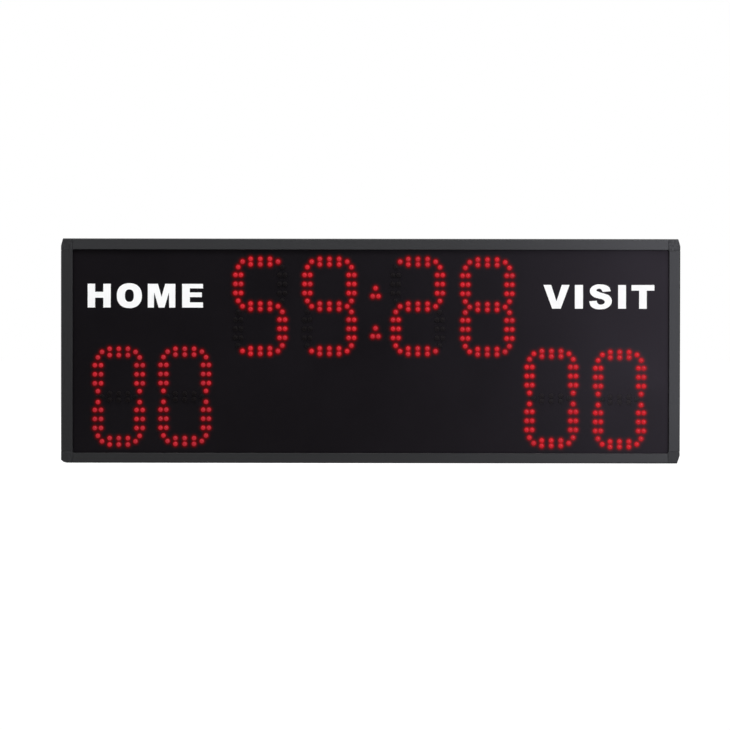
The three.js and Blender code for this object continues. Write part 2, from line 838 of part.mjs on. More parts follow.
function addPowerSupply() {
  const half = supplyLength / 2;
  const trayBack = insideBack;
  const trayFront = trayBack - supplyWall;
  const hoodFront = insideBack - supplyDepth;
  const side = (sign, inner, outer, depths) =>
    block(around(0, half), depths, sign > 0 ? [inner, outer] : [-outer, -inner]);
  const traySides = [-1, 1].map((sign) =>
    side(sign, supplyHalfWidth - supplyWall, supplyHalfWidth, [trayBack - supplyTrayHeight, trayBack]),
  );
  const tray = joined([
    block(around(0, half), [trayFront, trayBack], around(0, supplyHalfWidth)),
    ...traySides,
  ]);
  const hoodInner = supplyHalfWidth + fitGap;
  const hoodSides = [-1, 1].map((sign) =>
    side(sign, hoodInner, hoodInner + supplyWall, [hoodFront, trayBack]),
  );
  const hoodPlate = block(around(0, half), [hoodFront, hoodFront + supplyWall], around(0, hoodInner + supplyWall));
  const hoodSlots = Array.from({ length: hoodSlotCount }, (_, i) => {
    const x = (i - (hoodSlotCount - 1) / 2) * hoodSlotPitch;
    const through = [hoodFront - cutOverrun, hoodFront + supplyWall + cutOverrun];
    return block(around(x, hoodSlotWidth / 2), through, around(0, hoodSlotLength / 2));
  });
  const hood = cutFrom(joined([hoodPlate, ...hoodSides]), hoodSlots);
  const boardHalf = supplyHalfWidth - supplyWall - fitGap;
  const backFace = trayFront - supplyBoardGap;
  const frontFace = backFace - boardThickness;
  const postX = half - supplyPostWidth;
  const postZ = boardHalf - supplyPostWidth / 2;
  const posts = [[-postX, -postZ], [postX, -postZ], [-postX, postZ], [postX, postZ]].map(([x, z]) =>
    block(
      around(x, supplyPostWidth / 2),
      [backFace - joinDepth, trayFront - fitGap],
      around(z, supplyPostWidth / 2),
    ),
  );
  const blockX = half - terminalBlockSize[0] / 2;
  const capacitor = (x, z) =>
    barAlongY(capacitorRadius, roundSides, [frontFace - capacitorHeight, frontFace + joinDepth], x, z);
  const capacitorX = half - terminalBlockSize[0] - capacitorRadius * 2;
  const board = joined([
    block(around(0, half), [frontFace, backFace], around(0, boardHalf)),
    ...posts,
    standing(transformerSize, frontFace, 0, 0),
    standing(heatSinkSize, frontFace, 0, boardHalf - heatSinkSize[2]),
    standing(terminalBlockSize, frontFace, -blockX, 0),
    standing(terminalBlockSize, frontFace, blockX, 0),
    capacitor(-capacitorX, 0),
    capacitor(capacitorX, capacitorRadius),
  ]);
  place("supply_tray", tray, zincSteel, supplyX, 0, supplyZ);
  place("supply_hood", hood, zincSteel, supplyX, 0, supplyZ);
  place("supply_board", board, amberBoard, supplyX, 0, supplyZ);
}

const controlBack = insideBack - controlStandOff;
const controlFront = controlBack - boardThickness;
const controlHeaderZ = scoreZ - controlZ;
const controlTopHeaderX = digits[1].x - controlX;
const cellPlace = { x: -28, z: -20 };
const buzzerPlace = { x: 8, z: -22 };
const radioPlace = { x: -22, z: 8 };
const chipPlace = { x: 14, z: 6 };

function controlBoardSolid() {
  const postX = controlHalfWidth - controlPostWidth / 2;
  const postZ = controlHalfHeight - controlPostWidth / 2;
  const posts = [[-postX, -postZ], [postX, -postZ], [-postX, postZ], [postX, postZ]].map(([x, z]) =>
    block(around(x, controlPostWidth / 2), [controlBack - joinDepth, insideBack], around(z, controlPostWidth / 2)),
  );
  const sideX = controlHalfWidth - headerEdge - headerWidth / 2;
  const sideHeaderSize = [headerWidth, controlHeaderHeight, headerLength];
  const topHeaderSize = [headerLength, controlHeaderHeight, headerWidth];
  const topHeaderZ = controlHalfHeight - headerEdge - headerWidth / 2;
  const holderSpan = 2 * (cellRadius + cellHolderMargin);
  const drivers = [-1, 0].map((i) =>
    standing(driverSize, controlFront, (i - 1 / 2) * driverPitch + driverPitch / 2, topHeaderZ),
  );
  return joined([
    block(around(0, controlHalfWidth), [controlFront, controlBack], around(0, controlHalfHeight)),
    ...posts,
    standing(sideHeaderSize, controlFront, -sideX, controlHeaderZ),
    standing(sideHeaderSize, controlFront, sideX, controlHeaderZ),
    standing(topHeaderSize, controlFront, controlTopHeaderX, topHeaderZ),
    standing(powerBlockSize, controlFront, sideX, supplyZ - controlZ - powerBlockSize[2]),
    standing(chipSize, controlFront, chipPlace.x, chipPlace.z),
    standing([holderSpan, cellSeatHeight, holderSpan], controlFront, cellPlace.x, cellPlace.z),
    standing([headerWidth, radioPlinthHeight, headerLength], controlFront, radioPlace.x, radioPlace.z),
    ...drivers,
  ]);
}

// The radio receiver is a small board with a screening can, plugged on a plinth
function radioSolid() {
  const back = controlFront - radioPlinthHeight - fitGap;
  const front = back - radioSize[1];
  const canHalfWidth = radioSize[0] / 2 - radioCanHeight;
  const canHalfLength = radioSize[2] / 2 - radioCanHeight * 2;
  return joined([
    block(around(0, radioSize[0] / 2), [front, back], around(0, radioSize[2] / 2)),
    block(around(0, canHalfWidth), [front - radioCanHeight, back - radioSize[1] / 2], around(0, canHalfLength)),
  ]);
}

function buzzerSolid() {
  const back = controlFront - fitGap;
  const front = back - buzzerHeight;
  return cutFrom(barAlongY(buzzerRadius, roundSides, [front, back]), [
    barAlongY(buzzerHoleRadius, roundSides, [front - cutOverrun, front + buzzerHoleDepth]),
  ]);
}

function addControlBoard() {
  place("control_board", controlBoardSolid(), greenBoard, controlX, 0, controlZ);
  const at = (name, solid, material, { x, z }) => place(name, solid, material, controlX + x, 0, controlZ + z);
  const cellBack = controlFront - cellSeatHeight - fitGap;
  at("coin_cell", barAlongY(cellRadius, roundSides, [cellBack - cellHeight, cellBack]), nickel, cellPlace);
  at("buzzer", buzzerSolid(), blackPlastic, buzzerPlace);
  at("radio_module", radioSolid(), greenBoard, radioPlace);
}

// A strip of even thickness along a line of points in a plane
function stripOutline(points, thickness) {
  const sides = points.map((point, i) => {
    const before = points[Math.max(i - 1, 0)];
    const after = points[Math.min(i + 1, points.length - 1)];
    const run = Math.hypot(after[0] - before[0], after[1] - before[1]);
    const normal = [(before[1] - after[1]) / run, (after[0] - before[0]) / run];
    return [-1, 1].map((sign) => [
      point[0] + (sign * normal[0] * thickness) / 2,
      point[1] + (sign * normal[1] * thickness) / 2,
    ]);
  });
  return [...sides.map(([low]) => low), ...sides.map(([, high]) => high).reverse()];
}

// A smooth step from one depth to another between two places, as points for a strip
function easedRun([from, fromDepth], [to, toDepth], steps) {
  return Array.from({ length: steps + 1 }, (_, i) => {
    const share = i / steps;
    const eased = share * share * (3 - 2 * share);
    return [from + (to - from) * share, fromDepth + (toDepth - fromDepth) * eased];
  });
}

const runSteps = 8;
const plugReach = 4;
const visitRunStart = 20;
const visitRunEnd = 26;

function addRibbons() {
  const controlHeaderDepth = controlFront - controlHeaderHeight / 2;
  const controlLeft = controlX - controlHalfWidth + headerEdge - fitGap;
  const controlRight = controlX + controlHalfWidth - headerEdge + fitGap;
  const controlTop = controlZ + controlHalfHeight - headerEdge + fitGap;
  const width = around(scoreZ, ribbonWidth / 2);
  const homeFace = digits[5].x + boardHalfWidth - headerEdge + fitGap;
  const visitFace = digits[6].x - boardHalfWidth + headerEdge - fitGap;
  const clockFoot = clockZ - boardHalfHeight + headerEdge - fitGap;
  const straightThenEased = (start, end) => [
    start,
    ...easedRun([start[0] + Math.sign(end[0] - start[0]) * plugReach, start[1]],
      [end[0] - Math.sign(end[0] - start[0]) * plugReach, end[1]], runSteps),
    end,
  ];
  const homeLine = straightThenEased([controlLeft, controlHeaderDepth], [homeFace, headerDepth]);
  place("ribbon_home", prismAlongZ(stripOutline(homeLine, ribbonThickness), width), greyRibbon);
  const lowStart = supplyX - supplyLength / 2 + visitRunStart;
  const visitLine = [
    ...straightThenEased([controlRight, controlHeaderDepth], [lowStart - visitRunStart, ribbonLowDepth]),
    ...straightThenEased([visitFace - visitRunEnd, ribbonLowDepth], [visitFace, headerDepth]),
  ];
  place("ribbon_visit", prismAlongZ(stripOutline(visitLine, ribbonThickness), width), greyRibbon);
  const clockLine = straightThenEased([controlTop, controlHeaderDepth], [clockFoot, headerDepth]);
  const clockOutline = stripOutline(clockLine, ribbonThickness).map(([z, y]) => [y, z]);
  place("ribbon_clock", prismAlongX(clockOutline, around(digits[1].x, ribbonWidth / 2)), greyRibbon);
}

// A short ribbon lead between the sockets of two neighbouring boards
function addJumper(name, fromFace, toFace, z) {
  const line = [
    [fromFace + fitGap, headerDepth],
    [fromFace + fitGap + jumperStub, headerDepth],
    [(fromFace + toFace) / 2, headerDepth + jumperArch],
    [toFace - fitGap - jumperStub, headerDepth],
    [toFace - fitGap, headerDepth],
  ];
  const solid = prismAlongZ(stripOutline(line, ribbonThickness), around(z, ribbonWidth / 2));
  place(name, solid, greyRibbon);
}

function addJumpers() {
  const reach = boardHalfWidth - headerEdge;
  const colonReach = colonBoardHalfWidth - headerEdge;
  const between = (name, a, b, z) => addJumper(name, a.x + reach, b.x - reach, z);
  between("jumper_clock_minutes", digits[0], digits[1], clockZ);
  between("jumper_clock_seconds", digits[2], digits[3], clockZ);
  between("jumper_home", digits[4], digits[5], scoreZ);
  between("jumper_visit", digits[6], digits[7], scoreZ);
  addJumper("jumper_colon_left", digits[1].x + reach, colonX - colonReach, clockZ);
  addJumper("jumper_colon_right", colonX + colonReach, digits[2].x - reach, clockZ);
}

// A round wire through a list of points
function wireSolid(points) {
  const curve = new THREE.CatmullRomCurve3(points.map((p) => new THREE.Vector3(...p)));
  const section = new THREE.Shape(
    Array.from({ length: wireSides }, (_, i) => {
      const angle = (i * Math.PI * 2) / wireSides;
      return new THREE.Vector2(wireRadius * Math.cos(angle), wireRadius * Math.sin(angle));
    }),
  );
  return solidFrom(new THREE.ExtrudeGeometry(section, { steps: wireSteps, extrudePath: curve }));
}

const wireStub = 2.4;
const wireLowDepth = 12;
const wireBend = 8;
const wireDropZ = 6;

function addWires() {
  const terminalDepth = flangeBack - inletBodyDepth - terminalLength - fitGap;
  const supplyEnd = supplyX + supplyLength / 2 + fitGap;
  const supplyDepthIn = insideBack - supplyWall - supplyBoardGap - boardThickness - terminalBlockSize[1] / 2;
  const gapMiddle = (supplyEnd + inletX - inletBodyWidth / 2) / 2;
  const laneSpacing = terminalBlockSize[2] / 3;
  const lanes = [0, 1, -1];
  const materials = [brownWire, earthWire, blueWire];
  const names = ["wire_live", "wire_earth", "wire_neutral"];
  pinPlaces().forEach(({ x, z }, i) => {
    const lane = supplyZ + lanes[i] * laneSpacing;
    const startX = inletX + x;
    const startZ = inletZ + z;
    const points = [
      [startX, terminalDepth, startZ],
      [startX, terminalDepth - wireStub, startZ],
      [startX - wireBend / 2, wireLowDepth, startZ + lanes[i] * wireDropZ],
      [gapMiddle + wireBend / 2, wireLowDepth + wireStub, lane],
      [gapMiddle - wireBend / 4, supplyDepthIn - wireStub, lane],
      [supplyEnd + wireStub, supplyDepthIn, lane],
      [supplyEnd, supplyDepthIn, lane],
    ];
    place(names[i], wireSolid(points), materials[i]);
  });
  const controlEnd = controlX + controlHalfWidth - headerEdge - headerWidth / 2 + powerBlockSize[0] / 2 + fitGap;
  const controlDepthIn = controlFront - powerBlockSize[1] / 2;
  const startX = supplyX - supplyLength / 2 - fitGap;
  const endZ = supplyZ - powerBlockSize[2];
  const lead = [
    [startX, supplyDepthIn, supplyZ],
    [startX - wireStub, supplyDepthIn, supplyZ],
    [(startX + controlEnd) / 2, supplyDepthIn, (supplyZ + endZ) / 2],
    [controlEnd + wireStub, controlDepthIn, endZ],
    [controlEnd, controlDepthIn, endZ],
  ];
  place("wire_low_voltage", wireSolid(lead), redWire);
}

addRails();
addCorners();
addPanel();
addLampBoards();
addCover();
addScrews();
addHangers();
addInlet();
addPowerSupply();
addControlBoard();
addRibbons();
addJumpers();
addWires();

export default scoreboard;
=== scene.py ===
# %% [markdown]
# # An LED scoreboard
#
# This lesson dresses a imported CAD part, a scoreboard for a sports hall, until it looks like the real thing.
# The CAD part gives the size and the place of every piece. Blender adds what a camera sees: rounded edges,
# drilled holes, lamp lenses, printed words and finishes.
# Everything is in metres. X runs to the reader's right, Y runs away from them and Z is up.

import json
import math
import random

import bmesh
import bpy
from mathutils import Matrix, Quaternion, Vector, geometry, kdtree

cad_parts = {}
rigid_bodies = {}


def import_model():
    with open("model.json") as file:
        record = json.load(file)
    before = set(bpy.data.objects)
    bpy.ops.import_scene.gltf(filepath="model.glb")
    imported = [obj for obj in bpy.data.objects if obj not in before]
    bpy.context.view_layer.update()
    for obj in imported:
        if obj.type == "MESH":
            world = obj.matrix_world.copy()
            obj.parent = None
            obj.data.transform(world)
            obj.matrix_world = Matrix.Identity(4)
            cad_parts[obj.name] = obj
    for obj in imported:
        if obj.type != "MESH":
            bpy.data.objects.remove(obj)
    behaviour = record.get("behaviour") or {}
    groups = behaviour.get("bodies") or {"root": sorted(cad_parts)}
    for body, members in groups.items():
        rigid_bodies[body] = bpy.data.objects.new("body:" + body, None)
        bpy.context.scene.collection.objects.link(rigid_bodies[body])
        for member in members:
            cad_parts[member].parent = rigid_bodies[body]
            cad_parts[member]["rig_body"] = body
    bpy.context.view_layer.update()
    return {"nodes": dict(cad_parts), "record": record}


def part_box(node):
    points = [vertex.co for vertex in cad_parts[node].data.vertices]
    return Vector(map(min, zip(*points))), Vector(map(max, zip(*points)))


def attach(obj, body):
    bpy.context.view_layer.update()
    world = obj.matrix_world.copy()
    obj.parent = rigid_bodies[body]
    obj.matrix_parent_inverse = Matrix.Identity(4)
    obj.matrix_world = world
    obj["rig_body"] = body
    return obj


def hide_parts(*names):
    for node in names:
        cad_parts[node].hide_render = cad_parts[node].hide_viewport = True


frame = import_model()
nodes = frame["nodes"]
mm = 0.001

# %% Measures
def millimetres(*values):
    return tuple(value * mm for value in values)


def around(middle, half):
    return middle - half, middle + half


def middle_of(node):
    low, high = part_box(node)
    return (low.x + high.x) / 2, (low.z + high.z) / 2


front_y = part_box("rail_top")[0].y
board_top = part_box("rail_top")[1].z
board_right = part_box("corner_top_right")[1].x
print("the board is", round(2 * board_right / mm), "by", round(board_top / mm), "mm")

# %% [markdown]
# ## The camera
#
# The photograph was taken from far away with a long lens, so the board's sides stay parallel.
# The lens is worked out from the width that the picture covers at the board's front face.
# The board's middle lies a few pixels off the picture's middle, so the camera looks a little beside it.
# The picture also leans by a twelfth of a degree, which is one pixel from end to end of the board.

# %% Camera
picture_side = 730
pixel_size = 1.2919 * mm
board_middle_px = (370.5, 351.0)
roll = math.radians(0.08)
view_distance = 4.0
look_down = math.radians(0.9)

aim = Vector((
    -(board_middle_px[0] - picture_side / 2) * pixel_size,
    front_y,
    board_top / 2 + (board_middle_px[1] - picture_side / 2) * pixel_size,
))
camera_data = bpy.data.cameras.new("camera")
camera_data.sensor_width = 36
camera_data.lens = camera_data.sensor_width * view_distance / (picture_side * pixel_size)
camera = bpy.data.objects.new("camera", camera_data)
bpy.context.scene.collection.objects.link(camera)
camera.location = aim + Vector((0, -math.cos(look_down), math.sin(look_down))) * view_distance
camera.rotation_mode = "QUATERNION"
camera.rotation_quaternion = (aim - camera.location).to_track_quat("-Z", "Y") @ Quaternion((0, 0, 1), roll)
bpy.context.scene.camera = camera
bpy.context.scene.view_settings.view_transform = "Standard"
print("lens:", round(camera_data.lens, 1), "mm")

# %% [markdown]
# ## Node helpers
#
# A finish is a small tree of nodes. These helpers make a node, set its values and join it, so that each
# material below reads as a short list of what it is made of.

# %% Node helpers
def add_node(tree, kind, **settings):
    node = tree.nodes.new("ShaderNode" + kind)
    for name, value in settings.items():
        setattr(node, name, value)
    return node


def feed(tree, target, value):
    if isinstance(value, bpy.types.NodeSocket):
        tree.links.new(value, target)
    else:
        target.default_value = value


def calculate(tree, operation, *values, clamp=False):
    node = add_node(tree, "Math", operation=operation, use_clamp=clamp)
    for socket, value in zip(node.inputs, values):
        feed(tree, socket, value)
    return node.outputs[0]


def blend_values(tree, share, first, second):
    node = add_node(tree, "Mix", data_type="FLOAT")
    for index, value in ((0, share), (2, first), (3, second)):
        feed(tree, node.inputs[index], value)
    return node.outputs[0]


def blend_colours(tree, share, first, second, how="MIX"):
    node = add_node(tree, "Mix", data_type="RGBA", blend_type=how)
    for index, value in ((0, share), (6, first), (7, second)):
        feed(tree, node.inputs[index], value)
    return node.outputs[2]


def spread_between(tree, value, low, high, to_low=0.0, to_high=1.0):
    node = add_node(tree, "MapRange", interpolation_type="SMOOTHSTEP")
    for socket, number in zip(node.inputs, (value, low, high, to_low, to_high)):
        feed(tree, socket, number)
    return node.outputs[0]
print("node helpers are ready")

# %% Helpers for colours and places
def opaque(colour):
    return (*colour, 1.0)


def two_tones(colour, variation):
    """A darker and a lighter tone of one colour."""
    return [opaque([channel * share for channel in colour]) for share in (1 - variation, 1 + variation)]


def split_axes(tree, vector):
    split = add_node(tree, "SeparateXYZ")
    feed(tree, split.inputs[0], vector)
    return split.outputs


def object_place(tree):
    """Where a point lies in object coordinates, whole and split into its axes."""
    place = add_node(tree, "TexCoord").outputs["Object"]
    return place, split_axes(tree, place)


def geometry_value(tree, name):
    return add_node(tree, "NewGeometry").outputs[name]


def stored_value(tree, name):
    return add_node(tree, "Attribute", attribute_name=name).outputs["Fac"]


def mirrored_rays(tree, paths):
    """One for a ray that reached this place by a reflection or through glass."""
    return calculate(tree, "MAXIMUM", paths["Is Glossy Ray"], paths["Is Transmission Ray"])
print("two tones of a middle grey:", two_tones((0.5, 0.5, 0.5), 0.1))

# %% [markdown]
# ## Light, world and floor
#
# The board stands in a white studio. The world gives plain even light, and a tall and a low soft lamp in
# front of the right end make the reflection that brightens the frame and the panel there. The camera doesn't
# see the lamps. Towards the camera the room is darker, or the black panel would look grey.
# The white background is a strength of 1 for camera rays, so it adds no light to the object.

# %% World
ambient_light = 0.68
front_room = 0.05

world = bpy.data.worlds.new("studio")
world.use_nodes = True
bpy.context.scene.world = world
sky = world.node_tree
background = sky.nodes["Background"]
paths = add_node(sky, "LightPath").outputs
direction = split_axes(sky, add_node(sky, "TexCoord").outputs["Generated"])
room = spread_between(sky, direction["Y"], -0.35, 0.35, front_room, 1.0)
unseen = blend_values(sky, mirrored_rays(sky, paths), ambient_light, room)
feed(sky, background.inputs["Strength"], blend_values(sky, paths["Is Camera Ray"], unseen, 1.0))
background.inputs["Color"].default_value = (1, 1, 1, 1)
print("ambient:", ambient_light)

# %% Lamps
board_centre = (0, 0, 0.15)
cool_white = (0.97, 0.97, 1.09)


def soft_lamp(name, place, target, size, power, colour=(1, 1, 1), in_gloss=True, in_diffuse=True):
    data = bpy.data.lights.new(name, "AREA")
    data.shape = "RECTANGLE"
    data.size, data.size_y = size
    data.energy = power
    data.color = colour
    lamp = bpy.data.objects.new(name, data)
    bpy.context.scene.collection.objects.link(lamp)
    lamp.location = place
    lamp.rotation_mode = "QUATERNION"
    lamp.rotation_quaternion = (Vector(target) - Vector(place)).to_track_quat("-Z", "Y")
    lamp.visible_camera, lamp.visible_glossy, lamp.visible_diffuse = False, in_gloss, in_diffuse


soft_lamp("front_key", (0.0, -0.55, 1.05), board_centre, (1.4, 0.3), 12.5, in_gloss=False)
soft_lamp(
    "side_sheen", (0.60, -0.52, 0.33), (0.43, 0.0, 0.20), (0.5, 0.75), 2.1, cool_white, in_diffuse=False,
)
soft_lamp(
    "low_sheen", (0.56, -0.50, 0.04), (0.43, 0.0, 0.03), (0.45, 0.06), 0.26, cool_white, in_diffuse=False,
)
soft_lamp("back_light", (-0.9, 1.6, 1.3), board_centre, (0.9, 0.9), 9.0)

# %% [markdown]
# The floor is a large pale sheet with no gloss of its own. It shows white to the camera and still takes the
# board's shadow. In a reflection only the part behind the board glows, as the studio's back wall would, and
# the part in front stays dim.

# %% Floor
floor_half = 9.0
floor_glow = 0.78
glow_starts, glow_full = -0.2, 0.4
lit_floor, mirrored_floor = opaque((0.35, 0.35, 0.35)), opaque((0.12, 0.12, 0.12))

floor_mesh = bpy.data.meshes.new("floor")
floor_mesh.from_pydata([
    (x * floor_half, y * floor_half, 0) for x, y in ((-1, -1), (1, -1), (1, 1), (-1, 1))
], [], [(0, 1, 2, 3)])
floor = bpy.data.objects.new("floor", floor_mesh)
bpy.context.scene.collection.objects.link(floor)
floor_material = bpy.data.materials.new("floor")
floor_material.use_nodes = True
tree = floor_material.node_tree
shader = tree.nodes["Principled BSDF"]
shader.inputs["Roughness"].default_value = 0.9
shader.inputs["Specular IOR Level"].default_value = 0.0
shader.inputs["Emission Color"].default_value = (1, 1, 1, 1)
paths = add_node(tree, "LightPath").outputs
floor_tone = blend_colours(tree, paths["Is Glossy Ray"], lit_floor, mirrored_floor)
feed(tree, shader.inputs["Base Color"], floor_tone)
floor_place = split_axes(tree, geometry_value(tree, "Position"))
behind = spread_between(tree, floor_place["Y"], glow_starts, glow_full)
mirrored = calculate(tree, "MULTIPLY", mirrored_rays(tree, paths), behind)
seen = calculate(tree, "MAXIMUM", paths["Is Camera Ray"], mirrored)
feed(tree, shader.inputs["Emission Strength"], calculate(tree, "MULTIPLY", seen, floor_glow))
floor_mesh.materials.append(floor_material)
print("floor:", 2 * floor_half, "m wide")

# %% [markdown]
# ## Effects that several finishes share
#
# Real surfaces are never one even colour. Three effects come back on most pieces here, so each is a node
# group with its own inputs: a grain with slow patches, wear along the edges, and dust on what faces up.

# %% Surface grain
def effect_group(name, sockets, results):
    group = bpy.data.node_groups.new(name, "ShaderNodeTree")
    for label, kind, value in sockets:
        socket = group.interface.new_socket(label, in_out="INPUT", socket_type="NodeSocket" + kind)
        if value is not None:
            socket.default_value = value
    for label in results:
        group.interface.new_socket(label, in_out="OUTPUT", socket_type="NodeSocketFloat")
    return group, group.nodes.new("NodeGroupInput").outputs, group.nodes.new("NodeGroupOutput").inputs


def noise_at(tree, place, scale, detail=2.0):
    noise = add_node(tree, "TexNoise")
    for label, value in (("Vector", place), ("Scale", scale), ("Detail", detail)):
        feed(tree, noise.inputs[label], value)
    return noise.outputs["Fac"]


surface_grain, given, result = effect_group("surface_grain", [
    ("Place", "Vector", None), ("Stretch", "Vector", (1, 1, 1)),
    ("Fine", "Float", 1500), ("Coarse", "Float", 40),
], ["Height", "Patches"])
stretched = add_node(surface_grain, "VectorMath", operation="MULTIPLY")
feed(surface_grain, stretched.inputs[0], given["Place"])
feed(surface_grain, stretched.inputs[1], given["Stretch"])
for label, scale, detail in (("Height", "Fine", 3.0), ("Patches", "Coarse", 4.0)):
    noise = noise_at(surface_grain, stretched.outputs[0], given[scale], detail)
    feed(surface_grain, result[label], noise)
print("grain sockets:", [item.name for item in surface_grain.interface.items_tree])

# %% Edge wear
wear_scale = 260.0
edge_wear, given, result = effect_group("edge_wear", [
    ("Place", "Vector", None), ("Reach", "Float", 0.6 * mm), ("Amount", "Float", 1.0),
], ["Wear"])
rounded_normal = add_node(edge_wear, "Bevel", samples=4)
feed(edge_wear, rounded_normal.inputs["Radius"], given["Reach"])
lean = add_node(edge_wear, "VectorMath", operation="DOT_PRODUCT")
feed(edge_wear, lean.inputs[0], rounded_normal.outputs[0])
feed(edge_wear, lean.inputs[1], geometry_value(edge_wear, "Normal"))
off_flat = calculate(edge_wear, "SUBTRACT", 1.0, lean.outputs["Value"])
near_edge = spread_between(edge_wear, off_flat, 0.02, 0.2)
rubbed = spread_between(edge_wear, noise_at(edge_wear, given["Place"], wear_scale), 0.42, 0.62)
worn_through = calculate(edge_wear, "MULTIPLY", near_edge, rubbed)
feed(edge_wear, result["Wear"], calculate(edge_wear, "MULTIPLY", worn_through, given["Amount"], clamp=True))
print("wear sockets:", [item.name for item in edge_wear.interface.items_tree])

# %% Settled dust
dust_scale, dust_detail = 90.0, 6.0
settled_dust, given, result = effect_group("settled_dust", [
    ("Place", "Vector", None), ("Amount", "Float", 0.3),
], ["Dust"])
facing = split_axes(settled_dust, geometry_value(settled_dust, "Normal"))
upward = spread_between(settled_dust, facing["Z"], 0.5, 1.0)
drifts = noise_at(settled_dust, given["Place"], dust_scale, dust_detail)
lying = calculate(settled_dust, "MULTIPLY", upward, spread_between(settled_dust, drifts, 0.35, 0.7, 0.3, 1.0))
feed(settled_dust, result["Dust"], calculate(settled_dust, "MULTIPLY", lying, given["Amount"], clamp=True))
print("groups:", [group.name for group in bpy.data.node_groups])

# %% [markdown]
# ## A finish from layers
#
# Paint, plastic and plated steel differ in numbers more than in kind. One helper lays grain, patches, wear
# and dust over a base colour, and each finish below gives it the values of the real surface.
# Lengths such as the grain's stretch follow the piece: an extruded rail has its fine lines along its length.
# Simpler things, such as print, glass and wires, need only the patches, so they have a shorter helper.

# %% Finish helpers
dust_colour, dust_roughness = opaque((0.32, 0.31, 0.29)), 0.9
patch_low, patch_high = 0.3, 0.7


def place_group(tree, group, **values):
    node = add_node(tree, "Group")
    node.node_tree = group
    feed(tree, node.inputs["Place"], add_node(tree, "TexCoord").outputs["Object"])
    for label, value in values.items():
        feed(tree, node.inputs[label], value)
    return node.outputs


def blank_finish(name):
    material = bpy.data.materials.new(name)
    material.use_nodes = True
    return material, material.node_tree, material.node_tree.nodes["Principled BSDF"]


def raise_surface(tree, shader, height, depth):
    bump = add_node(tree, "Bump")
    bump.inputs["Strength"].default_value = 1.0
    bump.inputs["Distance"].default_value = depth
    feed(tree, bump.inputs["Height"], height)
    feed(tree, shader.inputs["Normal"], bump.outputs[0])


def patchy_finish(name, tones, roughness, fine, coarse, depth=None):
    """Slow patches between two tones and two roughnesses; a depth turns the grain into bumps."""
    material, tree, shader = blank_finish(name)
    grain = place_group(tree, surface_grain, Fine=fine, Coarse=coarse)
    shown = blend_colours(tree, grain["Patches"], *tones)
    feed(tree, shader.inputs["Base Color"], shown)
    rough = spread_between(tree, grain["Patches"], patch_low, patch_high, *roughness)
    feed(tree, shader.inputs["Roughness"], rough)
    if depth:
        raise_surface(tree, shader, grain["Height"], depth)
    return material, tree, shader, grain, shown
print("dust colour:", dust_colour)

# %% The layered finish
def layered_finish(
    name, colour, roughness, metallic=0.0, specular=0.5, variation=0.12, spread=0.06, fine=1500.0,
    coarse=40.0, bump=0.02 * mm, stretch=(1, 1, 1), wear=0.0, worn=(0.3, 0.3, 0.3), dust=0.0,
):
    material, tree, shader = blank_finish(name)
    grain = place_group(tree, surface_grain, Stretch=stretch, Fine=fine, Coarse=coarse)
    patches = spread_between(tree, grain["Patches"], patch_low, patch_high)
    shown = blend_colours(tree, patches, *two_tones(colour, variation))
    rough = spread_between(
        tree, grain["Patches"], patch_low, patch_high, roughness - spread, roughness + spread,
    )
    if wear:
        rubbed = place_group(tree, edge_wear, Amount=wear)["Wear"]
        shown = blend_colours(tree, rubbed, shown, opaque(worn))
    if dust:
        lying = place_group(tree, settled_dust, Amount=dust)["Dust"]
        shown = blend_colours(tree, lying, shown, dust_colour)
        rough = blend_values(tree, lying, rough, dust_roughness)
    feed(tree, shader.inputs["Base Color"], shown)
    feed(tree, shader.inputs["Roughness"], rough)
    raise_surface(tree, shader, grain["Height"], bump)
    shader.inputs["Metallic"].default_value = metallic
    shader.inputs["Specular IOR Level"].default_value = specular
    return material
print("the layered finish is ready")

# %% [markdown]
# ## Paint and plastic for the frame
#
# The rails are painted in one dark grey; their lightness differs a little as painted light and shade.
# The corner pieces are moulded plastic with a slightly rougher skin, and the one at the upper right is
# scuffed. The panel is a smoother black plastic. All of them are the layered finish with other numbers.

# %% Frame finishes
rail_grey = (0.0256, 0.0260, 0.0278)
rail_looks = dict(
    roughness=0.46, variation=0.05, spread=0.04, fine=900.0, coarse=25.0,
    bump=0.012 * mm, wear=0.35, worn=(0.16, 0.16, 0.165), dust=0.12,
)
along_x = (0.03, 1, 1)
along_z = (1, 1, 0.03)
shaded_rail_paint = {}
# Each rail's own lightness is painted light and shade: the top is lightest, the left darkest.
for side, painted_lightness, gloss, stretch in (
    ("top", 1.16, 0.58, along_x), ("bottom", 1.0, 0.58, along_x),
    ("left", 0.95, 0.58, along_z), ("right", 1.0, 0.46, along_z),
):
    colour = [channel * painted_lightness for channel in rail_grey]
    shaded_rail_paint[side] = layered_finish(
        "frame_paint_" + side, colour, specular=gloss, stretch=stretch, **rail_looks,
    )
corner_plastic = layered_finish(
    "corner_plastic", (0.0270, 0.0276, 0.0298), 0.58, specular=0.45, variation=0.22, spread=0.08,
    fine=1100.0, coarse=420.0, bump=0.05 * mm, wear=0.25, worn=(0.09, 0.09, 0.092), dust=0.15,
)
scuffed_plastic = layered_finish(
    "scuffed_plastic", (0.0280, 0.0286, 0.0308), 0.55, variation=0.95, spread=0.22, fine=430.0,
    coarse=390.0, bump=0.16 * mm, wear=0.35, worn=(0.11, 0.11, 0.112), dust=0.15,
)
panel_plastic = layered_finish(
    "panel_plastic", (0.0046, 0.0040, 0.0050), 0.48, specular=0.34, variation=0.10, spread=0.05,
    fine=700.0, coarse=9.0, bump=0.006 * mm, dust=0.1,
)
print("finishes so far:", len(bpy.data.materials))
